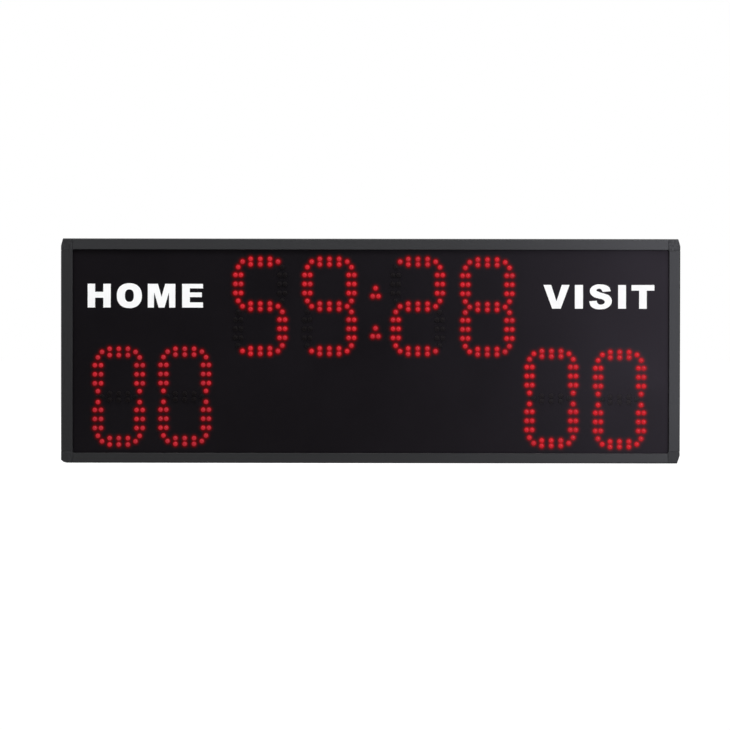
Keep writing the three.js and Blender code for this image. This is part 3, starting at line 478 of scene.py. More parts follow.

# %% [markdown]
# ## Making pieces
#
# A piece is a mesh with a finish that rides on a CAD body and hides the CAD node it stands for.
# Machined and moulded edges are never perfectly sharp, so many pieces are copies of their CAD solids with
# small rounds on the edges: the rounds catch the light, which is what makes an edge look real.

# %% Piece helpers
weld, fine_weld = millimetres(0.005, 0.001)
flat_enough = math.radians(1)
sharp_enough = math.radians(25)
record_slots = {subpart["node"]: subpart["material_slot"] for subpart in frame["record"]["subparts"]}


def finish_piece(name, mesh, material, body="board", slot=None, stands_for=(), smooth_below=40):
    piece = bpy.data.objects.new(name, mesh)
    bpy.context.scene.collection.objects.link(piece)
    mesh.materials.append(material)
    mesh.shade_smooth()
    mesh.set_sharp_from_angle(angle=math.radians(smooth_below))
    large_faces_first = piece.modifiers.new("large_faces_first", "WEIGHTED_NORMAL")
    large_faces_first.keep_sharp = True
    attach(piece, body)
    if stands_for:
        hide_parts(*stands_for)
    return piece


def mesh_of(name, bm):
    bmesh.ops.recalc_face_normals(bm, faces=bm.faces)
    mesh = bpy.data.meshes.new(name)
    bm.to_mesh(mesh)
    bm.free()
    return mesh


def piece_of(name, bm, material, **looks):
    return finish_piece(name, mesh_of(name, bm), material, **looks)


def round_edges(bm, edges, width):
    bmesh.ops.bevel(
        bm, geom=edges, offset=width, offset_type="OFFSET", segments=2, profile=0.5, affect="EDGES",
        clamp_overlap=True,
    )


def dress_node(node, mesh, material, smooth_below=40):
    """A piece that stands for one CAD node and hides it, on that node's own body."""
    name, body, slot = mesh.name, nodes[node]["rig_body"], record_slots[node]
    return finish_piece(name, mesh, material, body, slot, [node], smooth_below)


def softened(node, width, material, reshape=None):
    """A copy of a CAD solid with small rounds on its sharp edges."""
    bm = bmesh.new()
    bm.from_mesh(nodes[node].data)
    bmesh.ops.remove_doubles(bm, verts=bm.verts, dist=weld)
    bmesh.ops.dissolve_limit(bm, angle_limit=flat_enough, verts=bm.verts, edges=bm.edges)
    if reshape:
        reshape(bm)
    sharp = [e for e in bm.edges if len(e.link_faces) == 2 and e.calc_face_angle(0) > sharp_enough]
    round_edges(bm, sharp, width)
    dress_node(node, mesh_of(node + "_shown", bm), material)
print("CAD nodes with a slot:", len(record_slots))

# %% [markdown]
# Small parts aren't in the CAD solids, so they are built here from two kinds of shape. A block with rounded
# edges serves for sockets and cores. A profile turned round the Y axis serves for lenses, joints, cans and
# screws, because the real ones are round about an axis too.

# %% Blocks, turned shapes and circles
def rounded_block(bm, span_x, span_y, span_z, edge):
    spans = (span_x, span_y, span_z)
    middle = [(high + low) / 2 for low, high in spans]
    matrix = Matrix.Translation(middle) @ Matrix.Diagonal((*[high - low for low, high in spans], 1))
    made = bmesh.ops.create_cube(bm, size=1, matrix=matrix)["verts"]
    round_edges(bm, list(dict.fromkeys(e for v in made for e in v.link_edges)), edge)


def angles_round(count):
    return [2 * math.pi * i / count for i in range(count)]


def in_turn(ring):
    """Each item of a closed ring with the one that follows it."""
    return list(zip(ring, ring[1:] + ring[:1]))


def turned(bm, profile, sides, at=(0, 0), matrix=None):
    """A profile of (radius, y) points turned round the Y axis, standing at (x, z)."""
    matrix = matrix or Matrix.Translation((at[0], 0, at[1]))
    rings = []
    for radius, y in profile:
        if radius == 0:
            rings.append([bm.verts.new(matrix @ Vector((0, y, 0)))] * sides)
            continue
        spokes = [(radius * math.cos(a), radius * math.sin(a)) for a in angles_round(sides)]
        rings.append([bm.verts.new(matrix @ Vector((x, y, z))) for x, z in spokes])
    for ring, following in zip(rings, rings[1:]):
        for (a, b), (d, c) in zip(in_turn(ring), in_turn(following)):
            bm.faces.new(list(dict.fromkeys((a, b, c, d))))


def in_mm(base, points):
    """A profile given in millimetres, counted along Y from its base."""
    return [(radius * mm, base + y * mm) for radius, y in points]


def turned_piece(name, material, profile, sides, spots, **looks):
    bm = bmesh.new()
    for at in spots:
        turned(bm, profile, sides, at)
    piece_of(name, bm, material, **looks)


def turned_node(node, material, profile, sides, smooth_below):
    bm = bmesh.new()
    turned(bm, profile, sides, middle_of(node))
    dress_node(node, mesh_of(node + "_shown", bm), material, smooth_below)


def circle(radius, x=0.0, z=0.0, count=24):
    return [(x + radius * math.cos(a), z + radius * math.sin(a)) for a in angles_round(count)]
print("points in a circle:", len(circle(1.0)))

# %% [markdown]
# ## Plates from outlines
#
# A sheet with holes, a board or a printed letter is one outline pulled a little way along Y. Blender's flat
# curves fill such outlines and give them a small edge by themselves, which is simpler than building the
# faces by hand. The curve is turned into a mesh and deleted.

# %% Plates
def plate_mesh(name, outlines, front, back, edge, smooth_outlines=()):
    """Closed outlines of (x, z) points, filled between each other, as a plate from front to back along Y.
    The outlines are the flat face's own; the plate's side stands out from them by its edge."""
    curve = bpy.data.curves.new(name, "CURVE")
    curve.dimensions = "2D"
    curve.fill_mode = "BOTH"
    curve.extrude = (back - front) / 2 - edge
    curve.bevel_depth = edge
    curve.bevel_resolution = 0
    for outline in outlines:
        spline = curve.splines.new("POLY")
        spline.points.add(len(outline) - 1)
        for point, (x, z) in zip(spline.points, outline):
            point.co = (x, z, 0, 1)
        spline.use_cyclic_u = True
    for outline in smooth_outlines:
        spline = curve.splines.new("BEZIER")
        spline.resolution_u = 10
        spline.bezier_points.add(len(outline) - 1)
        for point, (x, z, corner) in zip(spline.bezier_points, outline):
            point.co = (x, z, 0)
            point.handle_left_type = point.handle_right_type = "VECTOR" if corner else "AUTO"
        spline.use_cyclic_u = True
    carrier = bpy.data.objects.new(name, curve)
    bpy.context.scene.collection.objects.link(carrier)
    bpy.context.view_layer.update()
    mesh = bpy.data.meshes.new_from_object(carrier.evaluated_get(bpy.context.evaluated_depsgraph_get()))
    bpy.data.objects.remove(carrier)
    bm = bmesh.new()
    bm.from_mesh(mesh)
    bpy.data.meshes.remove(mesh)
    upright = Matrix.Translation((0, (front + back) / 2, 0)) @ Matrix.Rotation(math.pi / 2, 4, "X")
    bmesh.ops.transform(bm, matrix=upright, verts=bm.verts)
    bmesh.ops.remove_doubles(bm, verts=bm.verts, dist=fine_weld)
    return mesh_of(name, bm)
print("plates are filled outlines")

# %% [markdown]
# ## The frame
#
# The frame is four aluminium rails under dark satin paint, joined by four moulded corner pieces.
# A thin seam shows where a rail meets a corner. The rails are copies of the CAD solids with fine rounds.
# No two rails and corners are quite alike on the real frame. So each rail's lip gets its own depth, and each
# corner's slanted clip its own length. Both are given in millimetres.

# %% Lips and clips
lip_depth = 4.5 * mm
lip_zone = 12.5 * mm
face_zone = 0.1 * mm
near_clip = 1.8 * mm


def fitted_lip(axis, outer, face_end, lip_end):
    """Sets how far the lip's front edge and its end reach from the rail's outer face."""
    def reshape(bm):
        for vert in bm.verts:
            if vert.co.y < front_y + lip_depth and abs(vert.co[axis] - outer) > lip_zone:
                reach = face_end if vert.co.y < front_y + face_zone else lip_end
                vert.co[axis] = outer + reach * mm
    return reshape


def fitted_clip(side, level, longer_along, longer_up):
    """Makes the outer corner's slanted clip longer along the rail and up the side."""
    foot = board_top if level == "top" else 0.0
    edge = board_right if side == "right" else -board_right
    inward_x, inward_z = (-1 if edge > 0 else 1), (-1 if foot > 0 else 1)

    def reshape(bm):
        if (level, side) == ("bottom", "left"):
            for vert in bm.verts:
                vert.co.x, vert.co.z = vert.co.z - board_right, vert.co.x + board_right
            bmesh.ops.reverse_faces(bm, faces=bm.faces)
        for vert in bm.verts:
            from_edge, from_foot = abs(vert.co.x - edge), abs(vert.co.z - foot)
            if from_foot < near_clip and near_clip < from_edge < lip_zone:
                vert.co.x += inward_x * longer_along * mm
            if from_edge < near_clip and near_clip < from_foot < lip_zone:
                vert.co.z += inward_z * longer_up * mm
    return reshape
print("lips reach", round(lip_zone / mm, 1), "mm or more")

# %% Rails and corners
rail_round, corner_round = millimetres(0.2, 0.35)
rail_lips = {
    "top": (2, board_top, -13.9, -14.2), "bottom": (2, 0.0, 12.6, 12.9),
    "left": (0, -board_right, 14.9, 15.1), "right": (0, board_right, -14.1, -14.4),
}
for side, lip in rail_lips.items():
    softened("rail_" + side, rail_round, shaded_rail_paint[side], fitted_lip(*lip))
for level, side, longer_along, longer_up, plastic in (
    ("bottom", "left", -2.0, 0.8, corner_plastic), ("bottom", "right", 0.9, 1.4, corner_plastic),
    ("top", "left", 0.0, 0.0, corner_plastic), ("top", "right", 0.0, 0.0, scuffed_plastic),
):
    clip = fitted_clip(side, level, longer_along, longer_up)
    softened(f"corner_{level}_{side}", corner_round, plastic, clip)

# %% [markdown]
# ## Where the lamps sit
#
# Each segment of a digit has eight lamps: three pairs and a single lamp at each end. The digits read 59:28
# over two scores of 00, as plain numbers. A lamp belongs to a lit or to a dark segment, so the two kinds
# can have their own finishes.

# %% The lamps of one digit
digit_half_width, digit_half_height = millimetres(28.1, 57.8)
pitch_across, pitch_down = millimetres(12.3, 11.7)
level_end, upright_end = millimetres(22.6, 21.8)
segment_letters = {"0": "abcdef", "2": "abdeg", "5": "acdfg", "8": "abcdefg", "9": "abcdfg"}


def segment_lamps(pitch, end, pair_half):
    pairs = [(along, across) for along in (-pitch, 0.0, pitch) for across in (-pair_half, pair_half)]
    return [(-end, 0.0), *pairs, (end, 0.0)]


def digit_lamps(pair_half):
    """The lamp places of each segment, by its letter, about the digit's middle."""
    level = segment_lamps(pitch_across, level_end, pair_half)
    upright = [(across, along) for along, across in segment_lamps(pitch_down, upright_end, pair_half)]
    middles = {
        "a": (0, digit_half_height), "g": (0, 0), "d": (0, -digit_half_height),
        "f": (-digit_half_width, digit_half_height / 2), "b": (digit_half_width, digit_half_height / 2),
        "e": (-digit_half_width, -digit_half_height / 2), "c": (digit_half_width, -digit_half_height / 2),
    }
    return {
        letter: [(x + dx, z + dz) for dx, dz in (level if letter in "agd" else upright)]
        for letter, (x, z) in middles.items()
    }
print("lamps in one digit:", sum(len(spots) for spots in digit_lamps(1.0).values()))

# %% [markdown]
# The holes were drilled through a template held on by hand, so a digit sits a little off its middle. Its fit
# says how far along and up it sits, its width as a share, and half the distance in a pair.

# %% The lamps of the board
shown_digits = {
    "clock_minute_tens": "5", "clock_minute_units": "9", "clock_second_tens": "2", "clock_second_units": "8",
    "home_tens": "0", "home_units": "0", "visit_tens": "0", "visit_units": "0",
}
even_fit = (-0.5 * mm, -0.2 * mm, 1.015, 3.5 * mm)
hand_fit = {
    "clock_second_units": (0.0, -0.8 * mm, 1.015, 3.5 * mm),
    "home_tens": (0.5 * mm, 0.4 * mm, 0.96, 4.1 * mm),
    "home_units": (-0.6 * mm, 0.9 * mm, 0.98, 3.75 * mm),
    "visit_tens": (-0.3 * mm, -1.2 * mm, 1.005, 3.45 * mm),
    "visit_units": (-0.6 * mm, -2.5 * mm, 0.99, 3.45 * mm),
}

places = {}
for digit, number in shown_digits.items():
    x, z = middle_of("lamps_" + digit)
    along, up, width_share, pair_half = hand_fit.get(digit, even_fit)
    lit, dark = [], []
    for letter, spots in digit_lamps(pair_half).items():
        kind = lit if letter in segment_letters[number] else dark
        kind.extend((x + along + dx * width_share, z + up + dz) for dx, dz in spots)
    places[digit] = {"middle": (x, z), "lit": lit, "dark": dark}
print("lit lamps in the digits:", sum(len(p["lit"]) for p in places.values()))

# %% The colon
colon_upper, colon_lower = millimetres(18.2, -33.6)
colon_half_width, colon_half_height = millimetres(3.7, 5.2)
colon_middle = middle_of("lamps_clock_colon")
clock_z = places["clock_second_tens"]["middle"][1]
triangle = [
    (0, colon_half_height), (-colon_half_width, -colon_half_height), (colon_half_width, -colon_half_height),
]
colon_spots = [
    (colon_middle[0] + dx, clock_z + level + dz)
    for level in (colon_upper, colon_lower) for dx, dz in triangle
]
places["clock_colon"] = {"middle": colon_middle, "lit": colon_spots, "dark": []}
lamp_count = sum(len(p["lit"]) + len(p["dark"]) for p in places.values())
print("lamps:", lamp_count, "lit:", sum(len(p["lit"]) for p in places.values()))

# %% [markdown]
# ## The front panel
#
# The panel is one black sheet with a hole for every lamp. Each hole is lightly countersunk. Beside a lit lamp
# a red glow is painted on that small slope and the panel round it, so the lamps look a little larger than
# their lenses. The flat faces are triangles between the outline, the holes and some loose points round the
# lamps; each point stores how near a lit lamp is, and the finish turns that into painted red light and
# darkens the sheet's own grey there as painted shade. The slopes of the other holes get painted light: a
# paler colour and a faint glow.

# %% Holes and outline
sheet_inset, sheet_setback, sheet_thickness = millimetres(4.0, 4.3, 3.0)
panel_front = front_y + sheet_setback
panel_back = panel_front + sheet_thickness
hole_rim, hole_chamfer = millimetres(3.3, 0.3)
bore = hole_rim - hole_chamfer
hole_sides = 20

lit_spots = [spot for p in places.values() for spot in p["lit"]]
dark_spots = [spot for p in places.values() for spot in p["dark"]]
all_spots = [spot for p in places.values() for spot in p["lit"] + p["dark"]]


def spot_tree(spots):
    tree = kdtree.KDTree(len(spots))
    for index, (x, z) in enumerate(spots):
        tree.insert((x, z, 0), index)
    tree.balance()
    return tree


any_lamp, lit_lamp, dark_lamp = (spot_tree(spots) for spots in (all_spots, lit_spots, dark_spots))


def sheet_outline(edge):
    right = board_right - sheet_inset - edge
    low, high = sheet_inset + edge, board_top - sheet_inset - edge
    return [(-right, low), (right, low), (right, high), (-right, high)]
print("sheet width:", round(2 * sheet_outline(0)[1][0] / mm, 1), "mm")

# %% Drilled faces
inside_hole = 0.985
same_point, hole_weld = millimetres(0.0005, 0.002)


def drilled_face(bm, y, outline, hole_radius, loose=()):
    """Flat triangles between the sheet's outline and its holes, through the loose points too."""
    points = [Vector(point) for point in outline]
    edges = in_turn(list(range(len(outline))))
    for x, z in all_spots:
        edges += in_turn(list(range(len(points), len(points) + hole_sides)))
        points.extend(Vector(point) for point in circle(hole_radius, x, z, hole_sides))
    points.extend(Vector(point) for point in loose)
    flat, _, triangles, *_ = geometry.delaunay_2d_cdt(points, edges, [], 0, same_point)
    corners = [bm.verts.new((x, y, z)) for x, z in flat]
    for triangle in triangles:
        middle = sum((flat[i] for i in triangle), Vector((0, 0))) / 3
        if any_lamp.find((middle.x, middle.y, 0))[2] > hole_radius * inside_hole:
            bm.faces.new([corners[i] for i in triangle])


def sleeve(bm, first, second):
    """A band of faces between two rings of points."""
    rings = [[bm.verts.new(point) for point in ring] for ring in (first, second)]
    for (a, b), (d, c) in zip(*map(in_turn, rings)):
        bm.faces.new((a, b, c, d))
    return rings


def at_depth(y, outline):
    return [(x, y, z) for x, z in outline]
print("a hole's bore:", round(2 * bore / mm, 1), "mm")

# %% The drilled sheet
glow_rings = ((3.8 * mm, 10), (4.7 * mm, 12), (6.2 * mm, 14), (8.5 * mm, 14))
clear_of_rims = hole_rim + 0.35 * mm
around_lit = [
    point for x, z in lit_spots for radius, count in glow_rings for point in circle(radius, x, z, count)
    if any_lamp.find((*point, 0))[2] > clear_of_rims
]
slope_end = panel_front + hole_chamfer
bm = bmesh.new()
drilled_face(bm, panel_front, sheet_outline(hole_chamfer), hole_rim, around_lit)
drilled_face(bm, panel_back, sheet_outline(0), bore)
walls = [(sheet_outline(hole_chamfer), sheet_outline(0))]
walls += [(circle(hole_rim, x, z, hole_sides), circle(bore, x, z, hole_sides)) for x, z in all_spots]
for sloped, straight in walls:
    sleeve(bm, at_depth(panel_front, sloped), at_depth(slope_end, straight))
    sleeve(bm, at_depth(slope_end, straight), at_depth(panel_back, straight))
bmesh.ops.remove_doubles(bm, verts=bm.verts, dist=hole_weld)
panel_mesh = mesh_of("face_panel_drilled", bm)
print("holes:", len(all_spots), "panel faces:", len(panel_mesh.polygons))

# %% [markdown]
# The painted red light falls off with the distance from each lit lamp and ends at a fixed reach. The slope of
# an unlit lamp's hole gets painted light too, more towards the right, standing in for the side lamp's light.

# %% Painted red light round the lamps
glow_reach, glow_end = millimetres(0.95, 8.4)
brightest = 1.3
row_glow = {"home": 0.6, "clock": 0.92, "visit": 1.0}
lit_glow = [row_glow[digit.split("_")[0]] for digit, p in places.items() for spot in p["lit"]]
last_light = math.exp((bore - glow_end) / glow_reach)
# The painted light on an unlit hole's slope starts at this share at the left end.
dimmest_painted_slope = 0.38
slope_margin = 0.02 * mm
left_end, right_end = (end(x for x, z in all_spots) for end in (min, max))


def store_values(mesh, label, values):
    mesh.attributes.new(label, "FLOAT", "POINT").data.foreach_set("value", values)


def glow_value(x, y, z):
    """How much painted red light a point of the sheet's front half gets from the lit lamps near it."""
    near = lit_lamp.find_range((x, z, 0), glow_end) if y < (panel_front + panel_back) / 2 else []
    falls = (lit_glow[index] * (math.exp((bore - away) / glow_reach) - last_light) for _, index, away in near)
    return min(brightest, sum(falls))


def painted_side_light(x):
    """The share of painted light, standing in for the side lamp's, that an unlit lamp at x and its hole's
    slope get: none at the left end.
    """
    return ((x - left_end) / (right_end - left_end)) ** 3


def painted_slope_value(x, y, z):
    """How much painted light a hole's slope gets: nothing away from the slopes of the unlit lamps."""
    if abs(y - slope_end) > slope_margin or dark_lamp.find((x, z, 0))[2] > hole_rim:
        return 0.0
    return min(1.0, dimmest_painted_slope + (1 - dimmest_painted_slope) * painted_side_light(max(left_end, x)))


glow = [glow_value(*vertex.co) for vertex in panel_mesh.vertices]
store_values(panel_mesh, "lamp_glow", glow)
store_values(panel_mesh, "cut_plastic", [painted_slope_value(*vertex.co) for vertex in panel_mesh.vertices])
print("points that catch red light:", sum(value > 0.01 for value in glow))

# %% The panel's finish
# The slopes of the unlit lamps' holes get a paler colour and a faint glow: painted light.
painted_slope_tone, painted_slope_glow_colour = opaque((0.014, 0.013, 0.0135)), opaque((0.0252, 0.0228, 0.0250))
# A darker tone for the sheet near lit lamps, which is painted shade, and the painted red light.
painted_shade_tone, painted_red_light = opaque((0.0010, 0.0008, 0.0010)), opaque((0.30, 0.0038, 0.0057))
tree = panel_plastic.node_tree
shader = tree.nodes["Principled BSDF"]
near_lamp, slope = stored_value(tree, "lamp_glow"), stored_value(tree, "cut_plastic")
moulded = shader.inputs["Base Color"].links[0].from_socket
# On the unlit lamps' slopes the base colour is made paler: painted light.
drilled = blend_colours(tree, slope, moulded, painted_slope_tone)
# Near a lit lamp the sheet's base colour is darkened: painted shade.
painted_shade_near_lit = spread_between(tree, near_lamp, 0.02, 0.22)
feed(tree, shader.inputs["Base Color"], blend_colours(tree, painted_shade_near_lit, drilled, painted_shade_tone))
# Those slopes also glow faintly: painted light.
painted_slope_glow = blend_colours(tree, slope, opaque((0, 0, 0)), painted_slope_glow_colour)
# Near a lit lamp the panel glows red: painted red light.
feed(tree, shader.inputs["Emission Color"], blend_colours(tree, near_lamp, painted_slope_glow, painted_red_light))
shader.inputs["Emission Strength"].default_value = 1.0
shader.inputs["Specular Tint"].default_value = opaque((1.0, 0.87, 1.01))
panel_plastic.cycles.emission_sampling = "NONE"
dress_node("face_panel", panel_mesh, panel_plastic, 30)
print("panel finish:", panel_plastic.name)

# %% [markdown]
# ## The lamps
#
# A lamp is a 5 mm red LED: a bullet-shaped lens on a short flange. A lit lens is brightest at its tip, where
# it throws the light forward, and darker down its side. Two values stored on the mesh carry this to the
# finish: one says how far up the lens a point lies, and the other gives each lamp its own slight tone.
# An unlit lens gets painted light that is stronger down its sides, so it hardly has a bright and a dark half.
# On an unlit lamp the second value is the share of that painted light, which grows towards the right.

# %% Lamp finishes
def lens_finish(name, roughness, specular):
    """What both lenses share: smooth plastic with emission, the lamp's light on a lit lens and painted light
    on an unlit one, and the two stored values.
    """
    material, tree, shader = blank_finish(name)
    grain = place_group(tree, surface_grain, Fine=2500.0, Coarse=900.0)
    feed(tree, shader.inputs["Roughness"], spread_between(tree, grain["Patches"], 0.2, 0.8, *roughness))
    shader.inputs["Specular IOR Level"].default_value = specular
    shader.inputs["Emission Strength"].default_value = 1.0
    raise_surface(tree, shader, grain["Height"], 0.004 * mm)
    material.cycles.emission_sampling = "NONE"
    height, tone = stored_value(tree, "up_the_lens"), stored_value(tree, "lamp_tone")
    return material, tree, shader.inputs, grain["Patches"], height, tone


def between(tree, share, first, second, how="MIX"):
    return blend_colours(tree, share, opaque(first), opaque(second), how)


lit_lens, tree, inputs, patches, height, tone = lens_finish("lamp_lit", (0.2, 0.32), 0.4)
ramp = add_node(tree, "ValToRGB")
stops = ramp.color_ramp.elements
stops[0].color, stops[1].color = opaque((0.08, 0.001, 0.002)), opaque((0.42, 0.0065, 0.0135))
for position, colour in ((0.35, (0.30, 0.012, 0.016)), (0.62, (0.40, 0.015, 0.021))):
    stops.new(position).color = opaque(colour)
feed(tree, ramp.inputs[0], height)
own_tone = between(tree, tone, (0.74, 1.2, 1.3), (1.22, 0.9, 0.95))
feed(tree, inputs["Emission Color"], blend_colours(tree, 1.0, ramp.outputs[0], own_tone, "MULTIPLY"))
feed(tree, inputs["Base Color"], between(tree, patches, (0.12, 0.005, 0.008), (0.16, 0.007, 0.011)))

# The unlit lens's glow and its paler base colour down its sides are painted light: they even out its shade
# and grow towards the right.
dark_lens, tree, inputs, patches, height, tone = lens_finish("lamp_dark", (0.28, 0.4), 0.06)
painted_light_left = between(tree, height, (0.0082, 0.0071, 0.0076), (0.0033, 0.0025, 0.0030))
painted_light_right = between(tree, height, (0.0247, 0.0216, 0.0251), (0.0198, 0.0170, 0.0205))
feed(tree, inputs["Emission Color"], blend_colours(tree, tone, painted_light_left, painted_light_right))
feed(tree, inputs["Base Color"], between(tree, height, (0.010, 0.009, 0.009), (0.0036, 0.0031, 0.0033)))
print("lamp finishes:", lit_lens.name, "and", dark_lens.name)

# %% A lamp's profile
lens_radius, flange_radius, flange_height, flange_neck = millimetres(2.85, 3.0, 1.0, 0.2)
lens_sides = 20
lens_tip = front_y + 0.9 * mm
board_front = front_y + 9.5 * mm
shoulder = lens_tip + lens_radius
flange_top = board_front - flange_height
lens_profile = [(0.0, lens_tip, 1.0)]
for degrees, up in ((20, 0.97), (38, 0.86), (56, 0.68), (74, 0.5), (90, 0.38)):
    a = math.radians(degrees)
    lens_profile.append((lens_radius * math.sin(a), shoulder - lens_radius * math.cos(a), up))
lens_profile += [
    (lens_radius, flange_top - flange_neck, 0.15), (flange_radius, flange_top, 0.1),
    (flange_radius, board_front, 0.05), (0.0, board_front, 0.0),
]
print("points in a lamp's profile:", len(lens_profile))

# %% Lamps
tones = random.Random(59)
lens_width = {"lit": 1.0, "dark": 1.036}
row_tone = {"home": 0.2, "clock": 0.55, "visit": 0.7}
tone_spread = 0.6


def lamp_mesh(name, spots, width, middle_tone):
    """All lamps of one kind on one digit, as one mesh with the two stored values."""
    bm = bmesh.new()
    ups, lamp_tones = [], []
    for x, z in spots:
        turned(bm, [(r * width, y) for r, y, up in lens_profile], lens_sides, (x, z))
        tone = min(1.0, max(0.0, middle_tone + tone_spread * (tones.random() - 0.5)))
        # An unlit lamp stores its share of painted light in place of a tone.
        if name.startswith("dark"):
            tone = painted_side_light(x)
        for radius, y, up in lens_profile:
            count = 1 if radius == 0 else lens_sides
            ups += [up] * count
            lamp_tones += [tone] * count
    mesh = mesh_of(name, bm)
    store_values(mesh, "up_the_lens", ups)
    store_values(mesh, "lamp_tone", lamp_tones)
    return mesh


for digit, place in places.items():
    for kind, lens in (("lit", lit_lens), ("dark", dark_lens)):
        if place[kind]:
            middle_tone = row_tone[digit.split("_")[0]]
            mesh = lamp_mesh(f"{kind}_lamps_{digit}", place[kind], lens_width[kind], middle_tone)
            dress_node("lamps_" + digit, mesh, lens, 50)

# %% [markdown]
# ## The words
#
# Two words are printed in white on the panel: which score is the home side's and which the visitors'.
# They are plain words in heavy capitals, drawn here from outlines in millimetres, not from a font file.
# The print stands a tenth of a millimetre proud, so that its edge is real geometry.

# %% Outline helpers
letter_height = 31.5
rise = 0.75
sharpest_corner = 0.35


def oval(width, height, exponent, count=56):
    """A rounded oval, a little squarer than an ellipse, standing on the baseline at the left."""
    points = []
    for a in angles_round(count):
        x, z = (math.copysign(abs(v) ** (2 / exponent), v) for v in (math.cos(a), math.sin(a)))
        points.append((width / 2 * (1 + x), height / 2 * (1 + z)))
    return points


def thinned(points, amount):
    """The same outline with every side moved inwards, or outwards for a counter, by the given amount."""
    twice_area = sum(a[0] * b[1] - b[0] * a[1] for a, b in in_turn(points))
    inward = math.copysign(amount, twice_area)
    moved = []
    for before, (point, after) in zip(points[-1:] + points, in_turn(points)):
        a = Vector((point[0] - before[0], point[1] - before[1])).normalized()
        b = Vector((after[0] - point[0], after[1] - point[1])).normalized()
        bisector = Vector((-a.y - b.y, a.x + b.x)) / max(sharpest_corner, 1 + a.dot(b))
        moved.append((point[0] + inward * bisector.x, point[1] + inward * bisector.y, *point[2:]))
    return moved


def shifted(points, dx, dz):
    return [(point[0] + dx, point[1] + dz, *point[2:]) for point in points]


def upright_bar(width):
    return [(0, 0), (width, 0), (width, letter_height), (0, letter_height)]
print("letter height:", letter_height, "mm")

# %% Letter outlines
letter_h = [
    (0, 0), (10.4, 0), (10.4, 12.6), (20.2, 12.6), (20.2, 0), (30.6, 0),
    (30.6, 31.5), (20.2, 31.5), (20.2, 21.0), (10.4, 21.0), (10.4, 31.5), (0, 31.5),
]
letter_m = [
    (0, 0), (8.7, 0), (8.7, 19.8), (14.1, 0), (22.3, 0), (27.7, 19.8), (27.7, 0), (36.4, 0),
    (36.4, 31.5), (22.6, 31.5), (18.2, 14.8), (13.8, 31.5), (0, 31.5),
]
letter_e = [
    (0, 0), (27.8, 0), (27.8, 7.6), (10.8, 7.6), (10.8, 13.6), (26.3, 13.6),
    (26.3, 20.4), (10.8, 20.4), (10.8, 24.9), (27.8, 24.9), (27.8, 31.5), (0, 31.5),
]
letter_v = [(0, 31.5), (11.65, 0), (23.35, 0), (35.0, 31.5), (24.1, 31.5), (17.5, 10.7), (10.9, 31.5)]
letter_t = [
    (9.85, 0), (20.55, 0), (20.55, 23.4), (30.4, 23.4), (30.4, 31.5), (0, 31.5), (0, 23.4), (9.85, 23.4),
]
letter_o_size, counter_size = (33.3, 33.0), (12.4, 17.0)
letter_o = oval(*letter_o_size, 2.25)
counter = shifted(oval(*counter_size, 2.4), *((o - c) / 2 for o, c in zip(letter_o_size, counter_size)))
letter_s_size = (30.4, 33.0)
letter_s = [(x * letter_s_size[0], z * letter_s_size[1], corner) for x, z, corner in (
    (0.958, 0.707, 1), (0.875, 0.890, 0), (0.513, 1.0, 0), (0.152, 0.917, 0), (0.034, 0.717, 0),
    (0.171, 0.510, 0), (0.418, 0.424, 0), (0.608, 0.372, 0), (0.665, 0.293, 0), (0.521, 0.210, 0),
    (0.384, 0.269, 0), (0.354, 0.362, 1), (0.0, 0.338, 1), (0.114, 0.097, 0), (0.513, 0.0, 0),
    (0.886, 0.114, 0), (1.0, 0.338, 0), (0.894, 0.545, 0), (0.684, 0.634, 0), (0.437, 0.707, 0),
    (0.361, 0.752, 0), (0.475, 0.800, 0), (0.597, 0.683, 1),
)]
print("points in the letter S:", len(letter_s))

# %% The printed words
home_word, visit_word = (-366.15, 216.1), (222.8, 215.4)
print_thickness, print_edge = millimetres(0.12, 0.02)
thinner = 0.42
white_print, *_ = patchy_finish(
    "white_print", (opaque((0.92, 0.92, 0.925)), opaque((0.97, 0.97, 0.975))), (0.42, 0.55), 1800.0, 60.0,
    0.01 * mm,
)


def print_word(name, at, straight, curved=()):
    """Letters at their places along the baseline, in millimetres, as one print on the panel."""
    def on_board(letters):
        base = at[1] - letter_height / 2
        moved = [shifted(thinned(outline, thinner), at[0] + dx, base + dz) for outline, dx, dz in letters]
        return [[(x * mm, z * mm, *rest) for x, z, *rest in outline] for outline in moved]

    mesh = plate_mesh(
        name, on_board(straight), panel_front - print_thickness, panel_front + print_thickness / 4,
        print_edge, on_board(curved),
    )
    finish_piece(name, mesh, white_print, smooth_below=30)
    xs = [v.co.x for v in mesh.vertices]
    print(name, "from", round(min(xs) / mm, 1), "to", round(max(xs) / mm, 1), "mm")


print_word("word_home", home_word, [
    (letter_h, 0, 0), (letter_o, 37.6, -rise), (counter[::-1], 37.6, -rise), (letter_m, 77.7, 0),
    (letter_e, 122.1, 0),
])
print_word("word_visit", visit_word, [
    (letter_v, 0, 0), (upright_bar(11.3), 40.9, 0), (upright_bar(11.0), 96.8, 0), (letter_t, 114.1, 0),
], [(letter_s, 59.1, -rise)])

# %% [markdown]
# ## Finishes for the back and the inside
#
# The same layered finish gives the cover's powder coat, plated steel, rubber and moulded black plastic.
# The numbers differ: powder coat has a coarse orange peel, plating has slow patches of brightness and
# rubber is rough all over.

